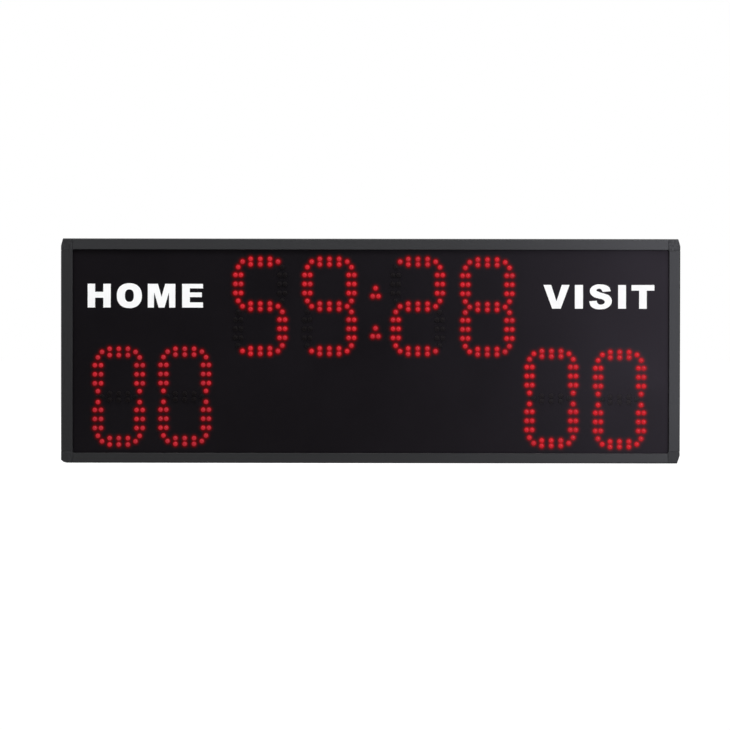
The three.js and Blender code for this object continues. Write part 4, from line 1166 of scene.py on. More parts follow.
# %% Finishes for the back
cover_paint = layered_finish(
    "cover_paint", (0.022, 0.022, 0.024), 0.52, variation=0.1, fine=420.0, coarse=14.0,
    bump=0.06 * mm, wear=0.4, worn=(0.2, 0.2, 0.2), dust=0.2,
)
zinc_steel = layered_finish(
    "zinc_steel", (0.60, 0.61, 0.62), 0.34, metallic=1.0, variation=0.14, spread=0.1, fine=1600.0,
    coarse=160.0, bump=0.012 * mm, wear=0.3, worn=(0.8, 0.8, 0.79),
)
black_steel = layered_finish(
    "black_steel", (0.03, 0.03, 0.031), 0.36, metallic=0.35, specular=0.6, variation=0.2, spread=0.08,
    fine=1600.0, coarse=260.0, wear=0.6, worn=(0.35, 0.35, 0.34),
)
pad_rubber = layered_finish(
    "pad_rubber", (0.014, 0.014, 0.0145), 0.82, specular=0.3, variation=0.3, spread=0.08, fine=900.0,
    coarse=200.0, bump=0.08 * mm, dust=0.2,
)
inlet_plastic = layered_finish(
    "inlet_plastic", (0.018, 0.018, 0.019), 0.42, variation=0.15, spread=0.08, coarse=240.0,
    bump=0.03 * mm, wear=0.25, worn=(0.07, 0.07, 0.07), dust=0.1,
)
rocker_plastic = layered_finish(
    "rocker_plastic", (0.012, 0.012, 0.0125), 0.24, variation=0.15, fine=1800.0, coarse=300.0,
    bump=0.006 * mm, wear=0.4, worn=(0.05, 0.05, 0.05),
)
nickel = layered_finish(
    "nickel", (0.66, 0.63, 0.57), 0.22, metallic=1.0, variation=0.1, spread=0.07, fine=2200.0,
    coarse=420.0, bump=0.006 * mm,
)
print("finishes so far:", len(bpy.data.materials))

# %% Finishes for soldered parts
solder = layered_finish(
    "solder", (0.62, 0.62, 0.60), 0.3, metallic=1.0, variation=0.15, spread=0.1, fine=1800.0, coarse=700.0,
)
socket_plastic = layered_finish(
    "socket_plastic", (0.02, 0.02, 0.021), 0.5, specular=0.45, variation=0.15, coarse=300.0,
)
chip_black = layered_finish(
    "chip_black", (0.025, 0.025, 0.026), 0.6, specular=0.4, fine=2600.0, coarse=300.0, bump=0.03 * mm,
)
aluminium = layered_finish(
    "aluminium", (0.74, 0.75, 0.76), 0.38, metallic=1.0, variation=0.08, stretch=along_x, coarse=90.0,
    bump=0.01 * mm,
)
winding_tape = layered_finish(
    "winding_tape", (0.62, 0.42, 0.05), 0.4, variation=0.1, fine=1200.0, coarse=120.0,
)
ferrite = layered_finish(
    "ferrite", (0.035, 0.033, 0.033), 0.55, variation=0.2, fine=1800.0, coarse=300.0, bump=0.04 * mm,
)
sleeve_black = layered_finish(
    "sleeve_black", (0.012, 0.013, 0.018), 0.3, fine=1200.0, coarse=140.0, bump=0.01 * mm,
)
terminal_green = layered_finish("terminal_green", (0.02, 0.20, 0.07), 0.45, fine=1400.0, coarse=260.0)
print("finishes so far:", len(bpy.data.materials))

# %% [markdown]
# ## Circuit boards
#
# A board is lacquer over copper. Where a track runs under the lacquer it shows a little lighter and stands a
# little proud. Short runs of straight tracks come from two repeating patterns, masked by Voronoi cells.

# %% Circuit board finish
lacquer_variation = 0.15


def from_middle(tree, value):
    """How far a value that counts repeats is from the middle of its own repeat."""
    return calculate(tree, "ABSOLUTE", calculate(tree, "SUBTRACT", calculate(tree, "FRACT", value), 0.5))


def board_finish(name, mask, track, pitch):
    """Lacquer over copper: straight tracks show as a slightly lighter, slightly raised pattern."""
    material, tree, shader, grain, lacquer = patchy_finish(
        name, two_tones(mask, lacquer_variation), (0.26, 0.36), 2200.0, 70.0,
    )
    place, split = object_place(tree)
    lines = []
    for axis, cell_scale in (("X", 70.0), ("Z", 83.0)):
        line = spread_between(
            tree, from_middle(tree, calculate(tree, "DIVIDE", split[axis], pitch)), 0.14, 0.2, 1.0, 0.0,
        )
        patch = add_node(tree, "TexVoronoi", distance="CHEBYCHEV")
        feed(tree, patch.inputs["Vector"], place)
        patch.inputs["Scale"].default_value = cell_scale
        runs = spread_between(tree, patch.outputs["Distance"], 0.2, 0.26, 1.0, 0.0)
        lines.append(calculate(tree, "MULTIPLY", line, runs))
    tracks = calculate(tree, "MAXIMUM", *lines)
    feed(tree, shader.inputs["Base Color"], blend_colours(tree, tracks, lacquer, opaque(track)))
    skin = calculate(tree, "MULTIPLY", grain["Height"], 0.2)
    raise_surface(tree, shader, calculate(tree, "ADD", tracks, skin), 0.03 * mm)
    shader.inputs["Coat Weight"].default_value = 0.3
    return material


green_board = board_finish("green_board", (0.010, 0.095, 0.035), (0.022, 0.17, 0.06), 2.1 * mm)
amber_board = board_finish("amber_board", (0.36, 0.20, 0.065), (0.46, 0.27, 0.10), 4.3 * mm)
lamp_board = board_finish("lamp_board", (0.012, 0.013, 0.014), (0.026, 0.027, 0.028), 2.6 * mm)
print("finishes so far:", len(bpy.data.materials))

# %% [markdown]
# ## The back cover
#
# A sheet of painted steel closes the back. Its vent slots are punched with round ends, and it has holes for
# its screws, for the hangers' pivots and for the inlet. Folded and punched edges get a small chamfer from the
# same plate helper.

# %% Outlines for plates
def slot_outline(x, z, half_width, half_height, count=10):
    points = []
    for direction, middle in ((0, z + half_height - half_width), (math.pi, z - half_height + half_width)):
        for i in range(count + 1):
            a = direction + math.pi * i / count
            points.append((x + half_width * math.cos(a), middle + half_width * math.sin(a)))
    return points


def corner_outline(span_x, span_z, radius, count=6):
    """A rectangle with rounded corners."""
    left, right = span_x[0] + radius, span_x[1] - radius
    foot, top = span_z[0] + radius, span_z[1] - radius
    points = []
    for i, (x, z) in enumerate(((right, foot), (right, top), (left, top), (left, foot))):
        for step in range(count + 1):
            a = math.pi / 2 * (i - 1 + step / count)
            points.append((x + radius * math.cos(a), z + radius * math.sin(a)))
    return points
print("points in a slot:", len(slot_outline(0, 0, 1, 2)))

# %% The cover sheet
cover_low, cover_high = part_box("back_cover")
screw_nodes = sorted(name for name in nodes if name.startswith("cover_screw_"))
screw_places = [middle_of(name) for name in screw_nodes]
hanger_places = {side: middle_of("hanger_pivot_" + side) for side in ("left", "right")}
inlet_x, inlet_z = middle_of("inlet_housing")
cover_edge = 0.2 * mm
cover_corner, cutout_corner = 2.0 * mm, 1.2 * mm
screw_hole, pivot_hole = 2.2 * mm, 2.95 * mm
cutout_half = millimetres(14.2, 30.5)
vent_x, vent_z = millimetres(250.0, 195.0)
vent_pitch, vent_half_width, vent_half_height = millimetres(8.0, 1.6, 18.0)
vents_a_side = 8

outlines = [corner_outline(
    (cover_low.x + cover_edge, cover_high.x - cover_edge),
    (cover_low.z + cover_edge, cover_high.z - cover_edge), cover_corner,
)]
outlines += [circle(screw_hole + cover_edge, x, z, 24) for x, z in screw_places]
outlines += [circle(pivot_hole + cover_edge, x, z, 28) for x, z in hanger_places.values()]
for side in (-1, 1):
    for i in range(vents_a_side):
        outlines.append(slot_outline(
            side * vent_x + (i - (vents_a_side - 1) / 2) * vent_pitch, vent_z,
            vent_half_width + cover_edge, vent_half_height + cover_edge,
        ))
outlines.append(corner_outline(
    around(inlet_x, cutout_half[0]), around(inlet_z, cutout_half[1]), cutout_corner,
))
cover_mesh = plate_mesh("back_cover_shown", outlines, cover_low.y, cover_high.y, cover_edge)
dress_node("back_cover", cover_mesh, cover_paint, 30)
print("cover outlines:", len(outlines))

# %% [markdown]
# ## Screws
#
# A screw's head and shank are one profile turned round its axis. The recess is cut by leaving the top face
# open: a ring of points at the rim and the recess's own outline are filled between with triangles. The cover
# has cross recesses, and the pivots have hexagon sockets. No two screws stop at the same turn.

# %% Screw shapes
def cross_outline(reach, width, turn):
    half = width / 2
    quarter = [(half, -reach), (half, -half), (reach, -half)]
    spin = [(1, 0), (0, 1), (-1, 0), (0, -1)]
    cross = [(x * c - z * s, x * s + z * c) for c, s in spin for x, z in quarter]
    c, s = math.cos(turn), math.sin(turn)
    return [(x * c - z * s, x * s + z * c) for x, z in cross]


def sunk_recess(bm, outline, at, y, depth, floor_share):
    """The walls and floor of a recess that opens at y; the head's top face is left open round it."""
    foot = [(x * floor_share, z * floor_share) for x, z in outline]
    top, low = sleeve(bm, at_depth(y, shifted(outline, *at)), at_depth(y - depth, shifted(foot, *at)))
    bm.faces.new(low)
    return top


def screw_mesh(name, at, underside, head, shank, recess, depth, floor_share):
    """A pan head on a shank, each given by its radius and its length, with a recess from its outline."""
    bm = bmesh.new()
    head_radius, head_height = head
    shank_radius, length = shank
    rim_y = underside + head_height
    turned(bm, [
        (0.0, underside - length), (shank_radius * 0.6, underside - length),
        (shank_radius, underside - length + 0.7 * mm), (shank_radius, underside),
        (head_radius - 0.1 * mm, underside), (head_radius, underside + 0.15 * mm),
        (head_radius, underside + head_height * 0.45), (head_radius * 0.93, underside + head_height * 0.78),
        (head_radius * 0.72, rim_y),
    ], 28, at)
    rim = [v for v in bm.verts if abs(v.co.y - rim_y) < 1e-7]
    rim.sort(key=lambda v: math.atan2(v.co.z - at[1], v.co.x - at[0]))
    hole = sunk_recess(bm, recess, at, rim_y, depth, floor_share)
    edges = [bm.edges.get(pair) or bm.edges.new(pair) for pair in in_turn(rim) + in_turn(hole)]
    bmesh.ops.triangle_fill(bm, use_beauty=True, edges=edges)
    return mesh_of(name, bm)
print("points in a cross recess:", len(cross_outline(1.0, 0.4, 0.0)))

# %% Cover screws
fit_gap = 0.3 * mm
screw_head, screw_shank = millimetres(3.4, 1.8), millimetres(1.7, 9.0)
cross_reach, cross_width, cross_depth = 1.9 * mm, 0.75 * mm, screw_head[1] * 0.75
turns = random.Random(8)
for node, at in zip(screw_nodes, screw_places):
    recess = cross_outline(cross_reach, cross_width, turns.uniform(0, math.pi / 2))
    mesh = screw_mesh(
        node + "_shown", at, cover_high.y + fit_gap, screw_head, screw_shank, recess, cross_depth, 0.72,
    )
    dress_node(node, mesh, zinc_steel, 32)
print("screws:", len(screw_nodes))

# %% [markdown]
# ## Hanging plates and pads
#
# Two zinc-plated plates swing on pivots behind the cover. Each is a plate with a round hole at either end,
# so the same outline helper makes it. The rubber pads at the foot are turned profiles with a sunk middle.

# %% Hanging plates and pivots
hanger_edge = 0.25 * mm
hanger_half_width, hanging_hole = 9.0 * mm, 4.6 * mm
pivot_head, pivot_shank = millimetres(5.5, 1.5), millimetres(2.5, 9.0)
socket_radius, socket_depth = 1.75 * mm, 1.1 * mm
pad_outer = [(0, 0), (9.0, 0), (8.9, 2.6)]
pad_inner = [(8.5, -1.1), (7.6, -0.3), (6.6, 0), (2.6, 0), (2.3, -0.3), (2.1, -1.8), (0, -1.8)]

for side, (x, z) in hanger_places.items():
    low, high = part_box("hanger_" + side)
    mesh = plate_mesh(f"hanger_{side}_shown", [
        slot_outline(
            x, (low.z + high.z) / 2, hanger_half_width - hanger_edge, (high.z - low.z) / 2 - hanger_edge, 18,
        ),
        circle(pivot_hole + hanger_edge, x, z, 28),
        circle(hanging_hole + hanger_edge, x, low.z + hanger_half_width, 36),
    ], low.y, high.y, hanger_edge)
    dress_node("hanger_" + side, mesh, zinc_steel, 30)
    pivot = "hanger_pivot_" + side
    turn = turns.uniform(0, math.pi / 3)
    corners = [turn + a for a in angles_round(6)]
    hexagon = [(socket_radius * math.cos(a), socket_radius * math.sin(a)) for a in corners]
    mesh = screw_mesh(
        pivot + "_shown", (x, z), high.y + fit_gap, pivot_head, pivot_shank, hexagon, socket_depth, 1.0,
    )
    dress_node(pivot, mesh, black_steel, 32)
    pad = "wall_pad_" + side
    pad_low, pad_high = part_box(pad)
    turned_node(pad, pad_rubber, in_mm(pad_low.y, pad_outer) + in_mm(pad_high.y, pad_inner), 40, 35)
print("hanging plates:", list(hanger_places))

# %% [markdown]
# ## The mains inlet
#
# The inlet's housing, rocker and fuse drawer are copies of their CAD solids with rounded edges. The rocker
# carries a plain stroke and ring for on and off, printed in white. Its outer face is a shallow V, so each
# mark is made flat and then leaned onto its own half of the face.

# %% Inlet, pins and rocker
for node, width, material in (
    ("inlet_housing", 0.25, inlet_plastic), ("power_rocker", 0.3, rocker_plastic),
    ("fuse_drawer", 0.2, inlet_plastic), ("inlet_pin_live", 0.35, nickel),
    ("inlet_pin_earth", 0.35, nickel), ("inlet_pin_neutral", 0.35, nickel),
):
    softened(node, width * mm, material)

flange_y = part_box("inlet_housing")[1].y
rocker_depth, rocker_up = millimetres(5.5, 20.5)
rocker_pivot = Vector((inlet_x, flange_y - rocker_depth, inlet_z + rocker_up))
rocker_tilt = math.radians(9.0)
face_middle, face_half, face_rise = millimetres(4.4, 8.8, 1.8)
mark_thickness, mark_lift, mark_edge = millimetres(0.06, 0.02, 0.01)


def mark_matrix(side):
    """From a flat mark about the origin to its place on one half of the rocker's outer face."""
    lean = Matrix.Rotation(side * math.atan2(face_rise, face_half), 4, "Z")
    on_face = Matrix.Translation((side * face_half / 2, face_middle + face_rise / 2 + mark_lift, 0)) @ lean
    return Matrix.Translation(rocker_pivot) @ Matrix.Rotation(rocker_tilt, 4, "Z") @ on_face


stroke = [corner_outline(around(0, 0.35 * mm), around(0, 2.0 * mm), 0.2 * mm, 3)]
ring = [circle(2.0 * mm, count=36), circle(1.35 * mm, count=36)]
bm = bmesh.new()
for side, outlines in ((-1, stroke), (1, ring)):
    flat_mark = plate_mesh("rocker_mark", outlines, *around(0, mark_thickness / 2), mark_edge)
    flat_mark.transform(mark_matrix(side))
    bm.from_mesh(flat_mark)
    bpy.data.meshes.remove(flat_mark)
piece_of("rocker_marks", bm, white_print, body="power_rocker", smooth_below=30)

# %% [markdown]
# ## The fuse
#
# The fuse is a thin glass tube with a wire down its middle and a nickel cap on each end. All three are
# profiles turned round the fuse's axis. The glass keeps a plain transmission, so that it exports as glass.

# %% Fuse
fuse_low, fuse_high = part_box("fuse")
fuse_middle = (fuse_low + fuse_high) / 2
along_fuse = Matrix.Translation(fuse_middle) @ Matrix.Rotation(math.pi / 2, 4, "Z")
tube_profile = [(2.4, -9.0), (2.4, 9.0), (1.9, 9.0), (1.9, -9.0), (2.4, -9.0)]
cap_profile = [(0, 9.9), (2.3, 9.9), (2.57, 9.6), (2.57, 5.1), (2.46, 5.0), (2.46, 9.2), (0, 9.2)]
wire_profile = [(0, -9.1), (0.12, -9.1), (0.12, 9.1), (0, 9.1)]

clear_glass, tree, shader, *_ = patchy_finish(
    "fuse_glass", (opaque((0.93, 0.96, 0.95)), opaque((0.98, 0.99, 0.98))), (0.02, 0.06), 900.0, 260.0,
    0.004 * mm,
)
shader.inputs["Transmission Weight"].default_value = 1.0
shader.inputs["IOR"].default_value = 1.47
bm = bmesh.new()
turned(bm, in_mm(0, tube_profile), 32, matrix=along_fuse)
bmesh.ops.remove_doubles(bm, verts=bm.verts, dist=fine_weld)
dress_node("fuse", mesh_of("fuse_tube", bm), clear_glass)
bm = bmesh.new()
for side in (-1, 1):
    turned(bm, in_mm(0, [(radius, side * y) for radius, y in cap_profile]), 32, matrix=along_fuse)
piece_of("fuse_caps", bm, nickel, body="fuse_drawer", smooth_below=35)
bm = bmesh.new()
turned(bm, in_mm(0, wire_profile), 8, matrix=along_fuse)
piece_of("fuse_wire", bm, nickel, body="fuse_drawer")
print("fuse middle:", [round(v / mm, 1) for v in fuse_middle], "mm")

# %% [markdown]
# ## Lamp boards
#
# Behind every digit is a black board that holds its lamps. From the back one sees two solder joints for
# each lamp and the sockets for the ribbon leads. A socket is a body and a cap with the lead clamped between.
# The boards are carried by pillars that stand on the panel's back.

# %% Board and socket shapes
board_edge, board_corner = 0.1 * mm, 1.2 * mm
socket_long, socket_short = 10.0 * mm, 4.0 * mm
socket_edge, socket_neck = 0.25 * mm, 0.6 * mm


def ribbon_socket(bm, x, z, half_x, half_z, base, top):
    """A socket's body and cap, with a thin neck between for the ribbon; top may be on either side of base."""
    for low, high, inset in ((0.0, 0.40, 0.0), (0.36, 0.64, socket_neck), (0.60, 1.0, 0.0)):
        depths = sorted(base + (top - base) * share for share in (low, high))
        rounded_block(bm, around(x, half_x - inset), depths, around(z, half_z - inset), socket_edge)


def flat_board(name, at, half, material, front, back, **looks):
    outline = corner_outline(
        around(at[0], half[0] - board_edge), around(at[1], half[1] - board_edge), board_corner, 4,
    )
    mesh = plate_mesh(name, [outline], front, back, board_edge)
    finish_piece(name, mesh, material, smooth_below=30, **looks)


def four_corners(x, z, reach_x, reach_z):
    return [(x + a * reach_x, z + b * reach_z) for a in (-1, 1) for b in (-1, 1)]
print("a socket's length:", round(2 * socket_long / mm), "mm")

# %% Boards, joints and sockets
board_back = board_front + 1.6 * mm
digit_board_half, colon_board_half = millimetres(38.0, 67.7), millimetres(10.3, 37.7)
socket_top = board_back + 7.0 * mm
side_socket, foot_socket = 33.5 * mm, 63.2 * mm
colon_socket_half = 9.8 * mm
joint_profile = in_mm(board_back, [(0, 0), (0.95, 0), (0.55, 0.5), (0.25, 1.1), (0, 1.15)])
leg_half_gap = 1.27 * mm
pillar_inset = 2.0 * mm
pillar_foot, pillar_end = panel_back - 0.2 * mm, board_front - fit_gap
pillar_profile = [(0.0, pillar_foot), (2.0 * mm, pillar_foot), (1.8 * mm, pillar_end), (0.0, pillar_end)]

pillar_places = []
for digit, place in places.items():
    x, z = place["middle"]
    colon = digit == "clock_colon"
    half = colon_board_half if colon else digit_board_half
    flat_board(f"lamp_board_{digit}", (x, z), half, lamp_board, board_front, board_back, slot="lamp_red")
    legs = [
        (lamp_x + side * leg_half_gap, lamp_z)
        for lamp_x, lamp_z in place["lit"] + place["dark"] for side in (-1, 1)
    ]
    turned_piece(f"solder_joints_{digit}", solder, joint_profile, 7, legs, smooth_below=60)
    bm = bmesh.new()
    reach = half[1] - pillar_inset
    if colon:
        ribbon_socket(bm, x, clock_z, colon_socket_half, socket_long, board_back, socket_top)
        pillar_places += [(x, z - reach), (x, z + reach)]
    else:
        for side in (-1, 1):
            ribbon_socket(bm, x + side * side_socket, z, socket_short, socket_long, board_back, socket_top)
        ribbon_socket(bm, x, z - foot_socket, socket_long, socket_short, board_back, socket_top)
        pillar_places += four_corners(x, z, half[0] - pillar_inset, reach)
    piece_of(f"lead_sockets_{digit}", bm, socket_plastic)
turned_piece("panel_pillars", inlet_plastic, pillar_profile, 20, pillar_places, smooth_below=35)
print("lamp boards:", len(places))

# %% [markdown]
# ## The power supply
#
# A tray and a slotted hood of plated steel hold the supply board. On it stand a transformer, two tall
# capacitors, a finned heat sink and a terminal block at either end.

# %% Supply housing and board
for node in ("supply_tray", "supply_hood"):
    softened(node, 0.25 * mm, zinc_steel)
supply_low, supply_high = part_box("supply_board")
supply_x, supply_z = middle_of("supply_board")
supply_half = (supply_high.x - supply_low.x) / 2, (supply_high.z - supply_low.z) / 2
supply_front, supply_back, tray_face = millimetres(11.5, 13.1, 16.2)
flat_board(
    "supply_board_shown", (supply_x, supply_z), supply_half, amber_board, supply_front, supply_back,
    slot="amber_board", stands_for=["supply_board"],
)


def standing_block(bm, x, z, size, face, edge=0.3 * mm, raised=0.0):
    """A block of width, height and length that stands forward of a board's front face."""
    width, height, length = size
    depths = (face - height - raised, face - raised)
    rounded_block(bm, around(x, width / 2), depths, around(z, length / 2), edge)


def one_piece(name, material, build):
    bm = bmesh.new()
    build(bm)
    piece_of(name, bm, material)


def post_profile(radius, start, end):
    return [(0.0, start), (radius, start), (radius, end), (0.0, end)]
print("supply board at", [round(v / mm, 1) for v in (supply_x, supply_z)], "mm")

# %% Shapes on the supply board
core_height = 14.0 * mm
core_yoke = {"dx": 0.0, "dz": 9.5 * mm, "size": (32.0 * mm, core_height, 7.0 * mm), "edge": 0.5 * mm}
core_leg = {"dx": 13.2 * mm, "dz": 0.0, "size": (5.4 * mm, core_height, 13.0 * mm), "edge": 0.4 * mm}
winding_size, winding_edge, winding_raise = millimetres(21.0, 12.6, 25.4), 2.4 * mm, 0.8 * mm
sink_height, sink_half_width, sink_from_edge = millimetres(13.0, 20.0, 4.0)
fin_count, fin_pitch, fin_half, fin_gap = 11, 3.9 * mm, 0.5 * mm, 0.4 * mm


def transformer_core(bm):
    for block in (core_yoke, core_leg):
        for side in (-1, 1):
            x, z = supply_x + side * block["dx"], supply_z + side * block["dz"]
            standing_block(bm, x, z, block["size"], supply_front, block["edge"])


def transformer_winding(bm):
    standing_block(bm, supply_x, supply_z, winding_size, supply_front, winding_edge, winding_raise)


def heat_sink(bm):
    z = supply_z + supply_half[1] - sink_from_edge
    tip = supply_front - sink_height
    rounded_block(
        bm, around(supply_x, sink_half_width), (tip, supply_front), (z + 0.7 * mm, z + 2 * mm), 0.2 * mm,
    )
    for i in range(fin_count):
        fin = supply_x + (i - (fin_count - 1) / 2) * fin_pitch
        depths = (tip, supply_front - fin_gap)
        rounded_block(bm, around(fin, fin_half), depths, (z - 2 * mm, z + 1 * mm), 0.15 * mm)


low_share, tower_width_share, tower_shift_share = 0.62, 0.72, 0.12
lane_gap, tower_gap = millimetres(0.2, 0.9)


def screw_terminals(bm, screws, x, z, size, face, lanes, wire_side):
    """A terminal block with a funnel and a clamp screw for every lane."""
    width, height, length = size
    pitch = length / lanes
    tower_x = x - wire_side * width * tower_shift_share
    for i in range(lanes):
        lane = z + (i - (lanes - 1) / 2) * pitch
        funnel, tower = (width, height * low_share), (width * tower_width_share, height)
        standing_block(bm, x, lane, (*funnel, pitch - lane_gap), face, 0.25 * mm)
        standing_block(bm, tower_x, lane, (*tower, pitch - tower_gap), face, 0.4 * mm)
        turned(screws, in_mm(face - height, [(0, 0), (1.5, 0), (1.7, 0.3), (0, 0.3)]), 16, (tower_x, lane))
print("supply shapes: core, winding, heat sink, terminals")

# %% Supply pieces
can_profile = in_mm(supply_front, [
    (0, -0.2), (6.4, -0.2), (6.9, -0.7), (6.9, -1.9), (6.6, -2.4), (6.9, -2.9), (6.9, -12.3), (6.5, -12.9),
    (5.4, -12.9), (0, -12.7),
])
lid_profile = in_mm(supply_front, [(0, -12.75), (5.2, -12.75), (5.1, -12.98), (0, -12.98)])
capacitor_reach, capacitor_up = 33.0 * mm, 7.0 * mm
capacitor_places = [
    (supply_x - capacitor_reach, supply_z), (supply_x + capacitor_reach, supply_z + capacitor_up),
]
supply_post, supply_post_reach = 2.5 * mm, 50.0 * mm
supply_post_places = four_corners(supply_x, supply_z, supply_post_reach, supply_half[1] - supply_post)
supply_terminal, terminal_reach = millimetres(8.0, 10.0, 34.0), 51.0 * mm

turned_piece(
    "supply_posts", nickel, post_profile(supply_post, supply_back, tray_face), 6, supply_post_places,
    smooth_below=30,
)
one_piece("transformer_core", ferrite, transformer_core)
one_piece("transformer_winding", winding_tape, transformer_winding)
turned_piece("capacitor_sleeves", sleeve_black, can_profile, 36, capacitor_places)
turned_piece("capacitor_tops", aluminium, lid_profile, 36, capacitor_places, smooth_below=30)
one_piece("heat_sink", aluminium, heat_sink)
terminals, clamp_screws = bmesh.new(), bmesh.new()
for side in (-1, 1):
    x = supply_x + side * terminal_reach
    screw_terminals(terminals, clamp_screws, x, supply_z, supply_terminal, supply_front, 3, side)
piece_of("supply_terminals", terminals, terminal_green)
print("capacitors:", len(capacitor_places))

# %% [markdown]
# ## The control board
#
# The green board carries the processor, the drivers for the lamps, ribbon sockets, a power terminal, the
# coin cell in its holder, a buzzer and a small radio module that plugs on a socket strip.

# %% Control board
control_x, control_z = middle_of("control_board")
control_half = millimetres(50.0, 40.0)
control_front, control_back, cover_face = millimetres(9.6, 11.2, 17.7)
flat_board(
    "control_board_shown", (control_x, control_z), control_half, green_board, control_front, control_back,
    slot="green_board", stands_for=["control_board"],
)
cell_at, radio_at = middle_of("coin_cell"), middle_of("radio_module")
leg_run, leg_pitch = 1.2 * mm, 1.27 * mm
leg_half_width, leg_half_length, leg_height = millimetres(0.2, 0.6, 0.5)
legless_end = 2.6 * mm
driver_z = control_z + 35.5 * mm
chips = [
    {"at": (control_x + 14 * mm, control_z + 6 * mm), "size": millimetres(15, 2, 15), "legs": "xz"},
    {"at": (control_x - 24 * mm, driver_z), "size": millimetres(18, 3, 8), "legs": "z"},
    {"at": (control_x, driver_z), "size": millimetres(18, 3, 8), "legs": "z"},
]
print("control board at", [round(v / mm, 1) for v in (control_x, control_z)], "mm")

# %% Chips
chip_raise, chip_edge, leg_edge = millimetres(0.2, 0.2, 0.08)


def chip_bodies(bm):
    for chip in chips:
        width, height, length = chip["size"]
        across = width - (2 * leg_run if "x" in chip["legs"] else 0)
        along = length - (2 * leg_run if "z" in chip["legs"] else 0)
        size = (across, height - chip_raise, along)
        standing_block(bm, *chip["at"], size, control_front, chip_edge, chip_raise)


def chip_legs(bm):
    leg_depths = (control_front - leg_height, control_front)
    for chip in chips:
        (x, z), (width, _, length) = chip["at"], chip["size"]
        for axis in chip["legs"]:
            run, reach = (width, length) if axis == "z" else (length, width)
            count = int((run - legless_end) / leg_pitch)
            for side in (-1, 1):
                for i in range(count):
                    offset = (i - (count - 1) / 2) * leg_pitch
                    tip = side * (reach / 2 - leg_half_length)
                    span_x, span_z = around(x + offset, leg_half_width), around(z + tip, leg_half_length)
                    if axis == "x":
                        span_x, span_z = around(x + tip, leg_half_length), around(z + offset, leg_half_width)
                    rounded_block(bm, span_x, leg_depths, span_z, leg_edge)
print("chips:", len(chips))

# %% Sockets and the cell's holder
control_socket_x, control_socket_z, lead_socket_x = millimetres(45.5, 10.1, 32.3)
control_socket_top = control_front - 8.5 * mm
radio_socket, holder_plate = millimetres(8, 5, 20), millimetres(23, 1, 23)
holder_ring = in_mm(control_front, [(9.0, -0.9), (11.4, -0.9), (11.4, -2.0), (9.0, -2.0), (9.0, -0.9)])


def control_sockets(bm):
    for x, z, half_x, half_z in (
        (-control_socket_x, control_socket_z, socket_short, socket_long),
        (control_socket_x, control_socket_z, socket_short, socket_long),
        (lead_socket_x, driver_z - control_z, socket_long, socket_short),
    ):
        ribbon_socket(bm, control_x + x, control_z + z, half_x, half_z, control_front, control_socket_top)
    standing_block(bm, *radio_at, radio_socket, control_front)


def cell_holder(bm):
    standing_block(bm, *cell_at, holder_plate, control_front)
    turned(bm, holder_ring, 40, cell_at)
print("a ribbon socket stands", round((control_front - control_socket_top) / mm, 1), "mm high")

# %% Control board pieces
control_post, control_post_x, control_post_z = millimetres(3.0, 47.0, 37.0)
control_terminal, control_terminal_z = millimetres(8.0, 9.0, 12.0), control_z - 23 * mm

turned_piece(
    "control_posts", nickel, post_profile(control_post, control_back, cover_face), 6,
    four_corners(control_x, control_z, control_post_x, control_post_z), smooth_below=30,
)
one_piece("control_chips", chip_black, chip_bodies)
one_piece("chip_legs", solder, chip_legs)
one_piece("control_sockets", socket_plastic, control_sockets)
one_piece("cell_holder", socket_plastic, cell_holder)
terminals = bmesh.new()
x = control_x + control_socket_x
screw_terminals(terminals, clamp_screws, x, control_terminal_z, control_terminal, control_front, 2, 1)
piece_of("control_terminals", terminals, terminal_green)
piece_of("clamp_screws", clamp_screws, zinc_steel, smooth_below=30)

# %% [markdown]
# ## Coin cell, buzzer and radio
#
# The coin cell keeps the clock's settings. Its rim is crimped, which is a small step in a turned profile.
# The buzzer is a drum with a sound hole. The radio module is a small board under a tinned can.

# %% Coin cell, buzzer and radio
cell_low, cell_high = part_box("coin_cell")
cell_profile = in_mm(cell_high.y, [(0, 0), (9.0, 0), (9.4, -0.3), (9.4, -0.8), (9.9, -0.9)])
cell_profile += in_mm(cell_low.y, [(9.95, 0.4), (9.5, 0), (0, 0)])
turned_node("coin_cell", nickel, cell_profile, 48, 32)
buzzer_low, buzzer_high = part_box("buzzer")
buzzer_profile = in_mm(buzzer_high.y, [(0, 0), (11.9, 0)])
buzzer_profile += in_mm(buzzer_low.y, [(11.9, 0.8), (11.2, 0), (3.1, 0), (2.5, 0.5), (2.5, 3), (0, 3)])
turned_node("buzzer", inlet_plastic, buzzer_profile, 44, 32)
radio_low, radio_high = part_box("radio_module")
radio_half = (radio_high.x - radio_low.x) / 2, (radio_high.z - radio_low.z) / 2
radio_thickness, can_half_x, can_half_z, can_overlap, can_edge = millimetres(1.0, 5.8, 8.6, 0.9, 0.35)
flat_board(
    "radio_module_shown", radio_at, radio_half, green_board, radio_high.y - radio_thickness, radio_high.y,
    slot="green_board", stands_for=["radio_module"],
)
one_piece("radio_can", nickel, lambda bm: rounded_block(
    bm, around(radio_at[0], can_half_x), (radio_low.y, radio_high.y - can_overlap),
    around(radio_at[1], can_half_z), can_edge,
))
print("radio module:", [round(2 * half / mm, 1) for half in radio_half], "mm")

# %% [markdown]
# ## Ribbon leads
#
# A ribbon lead is many thin wires side by side. Its finish draws them as fine ridges across the lead's
# width, darkens the grooves between them as painted shade, and colours the first one red, as real leads have.
# The leads are copies of the CAD solids.

# %% Ribbon finish
ribbon_half = 8.5 * mm
wire_pitch = 1.27 * mm
groove_painted_shade, first_red = opaque((0.12, 0.12, 0.125)), opaque((0.42, 0.03, 0.03))


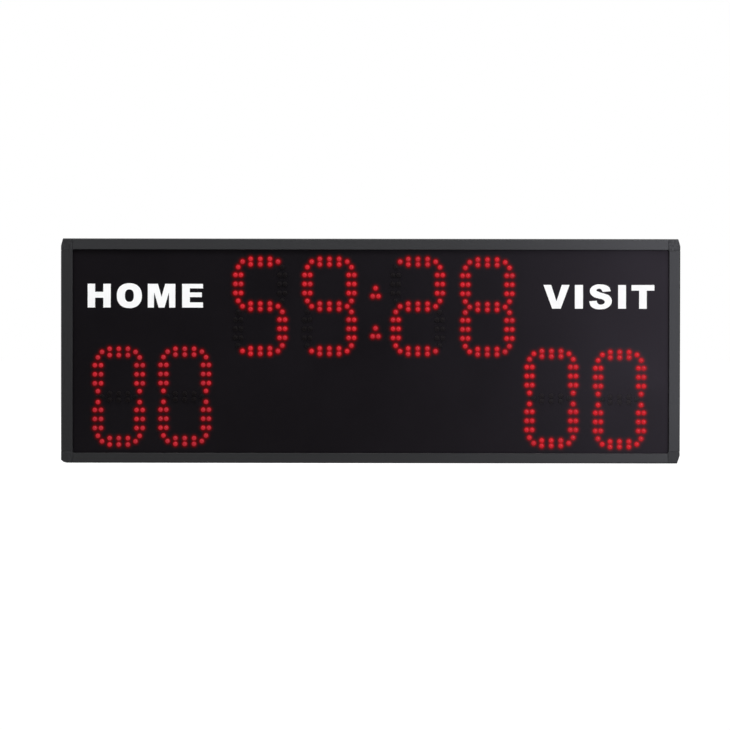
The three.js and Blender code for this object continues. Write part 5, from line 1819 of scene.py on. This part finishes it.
def ribbon_finish(name, axis, middle):
    material, tree, shader, _, plain = patchy_finish(
        name, (opaque((0.30, 0.30, 0.31)), opaque((0.38, 0.38, 0.39))), (0.42, 0.55), 1500.0, 120.0,
    )
    from_edge = calculate(tree, "SUBTRACT", object_place(tree)[1][axis], middle - ribbon_half)
    across = calculate(tree, "DIVIDE", from_edge, wire_pitch)
    groove = spread_between(tree, from_middle(tree, across), 0.3, 0.5)
    first = spread_between(tree, across, 0.95, 1.05, 1.0, 0.0)
    marked = blend_colours(tree, first, plain, first_red)
    # The grooves between the wires are darkened: painted shade.
    feed(tree, shader.inputs["Base Color"], blend_colours(tree, groove, marked, groove_painted_shade))
    raise_surface(tree, shader, calculate(tree, "SUBTRACT", 1.0, groove), 0.25 * mm)
    return material
print("a ribbon lead has", int(2 * ribbon_half / wire_pitch), "wires")

# %% Ribbon leads
score_z = places["home_tens"]["middle"][1]
minutes_x = places["clock_minute_units"]["middle"][0]
ribbon_round = 0.12 * mm
for name, axis, middle, leads in (
    ("grey_ribbon_score", "Z", score_z, ("ribbon_home", "ribbon_visit", "jumper_home", "jumper_visit")),
    ("grey_ribbon_clock", "Z", clock_z, (
        "jumper_clock_minutes", "jumper_clock_seconds", "jumper_colon_left", "jumper_colon_right",
    )),
    ("grey_ribbon_upright", "X", minutes_x, ("ribbon_clock",)),
):
    grey_ribbon = ribbon_finish(name, axis, middle)
    for node in leads:
        softened(node, ribbon_round, grey_ribbon)
    print(name, "on", len(leads), "leads")

# %% [markdown]
# ## Wires
#
# The loose wires are the CAD tubes with one level of subdivision, so that they look round up close.
# Soft PVC has hardly any grain. The earth wire's second colour winds along it as a sine of its place.

# %% Wires
stripe_rate = 1900.0
pvc_variation = 0.15


def wire_finish(name, colour, second=None):
    """Soft PVC; a second colour makes the long stripes of an earth wire."""
    material, tree, shader, _, shown = patchy_finish(
        name, two_tones(colour, pvc_variation), (0.34, 0.48), 1600.0, 300.0, 0.01 * mm,
    )
    if second:
        split = object_place(tree)[1]
        along = calculate(tree, "MULTIPLY", calculate(tree, "ADD", split["X"], split["Z"]), stripe_rate)
        stripe = spread_between(tree, calculate(tree, "SINE", along), -0.1, 0.1)
        feed(tree, shader.inputs["Base Color"], blend_colours(tree, stripe, shown, opaque(second)))
    return material


for node, *colours in (
    ("wire_live", (0.10, 0.035, 0.012)), ("wire_neutral", (0.012, 0.06, 0.30)),
    ("wire_earth", (0.04, 0.28, 0.05), (0.62, 0.50, 0.03)), ("wire_low_voltage", (0.42, 0.015, 0.012)),
):
    bm = bmesh.new()
    bm.from_mesh(nodes[node].data)
    bmesh.ops.remove_doubles(bm, verts=bm.verts, dist=weld)
    slot = record_slots[node]
    wire = dress_node(node, mesh_of(node + "_shown", bm), wire_finish(slot, *colours), 60)
    smoother = wire.modifiers.new("smooth_round", "SUBSURF")
    smoother.levels = smoother.render_levels = 1
    print(node, "in", slot)
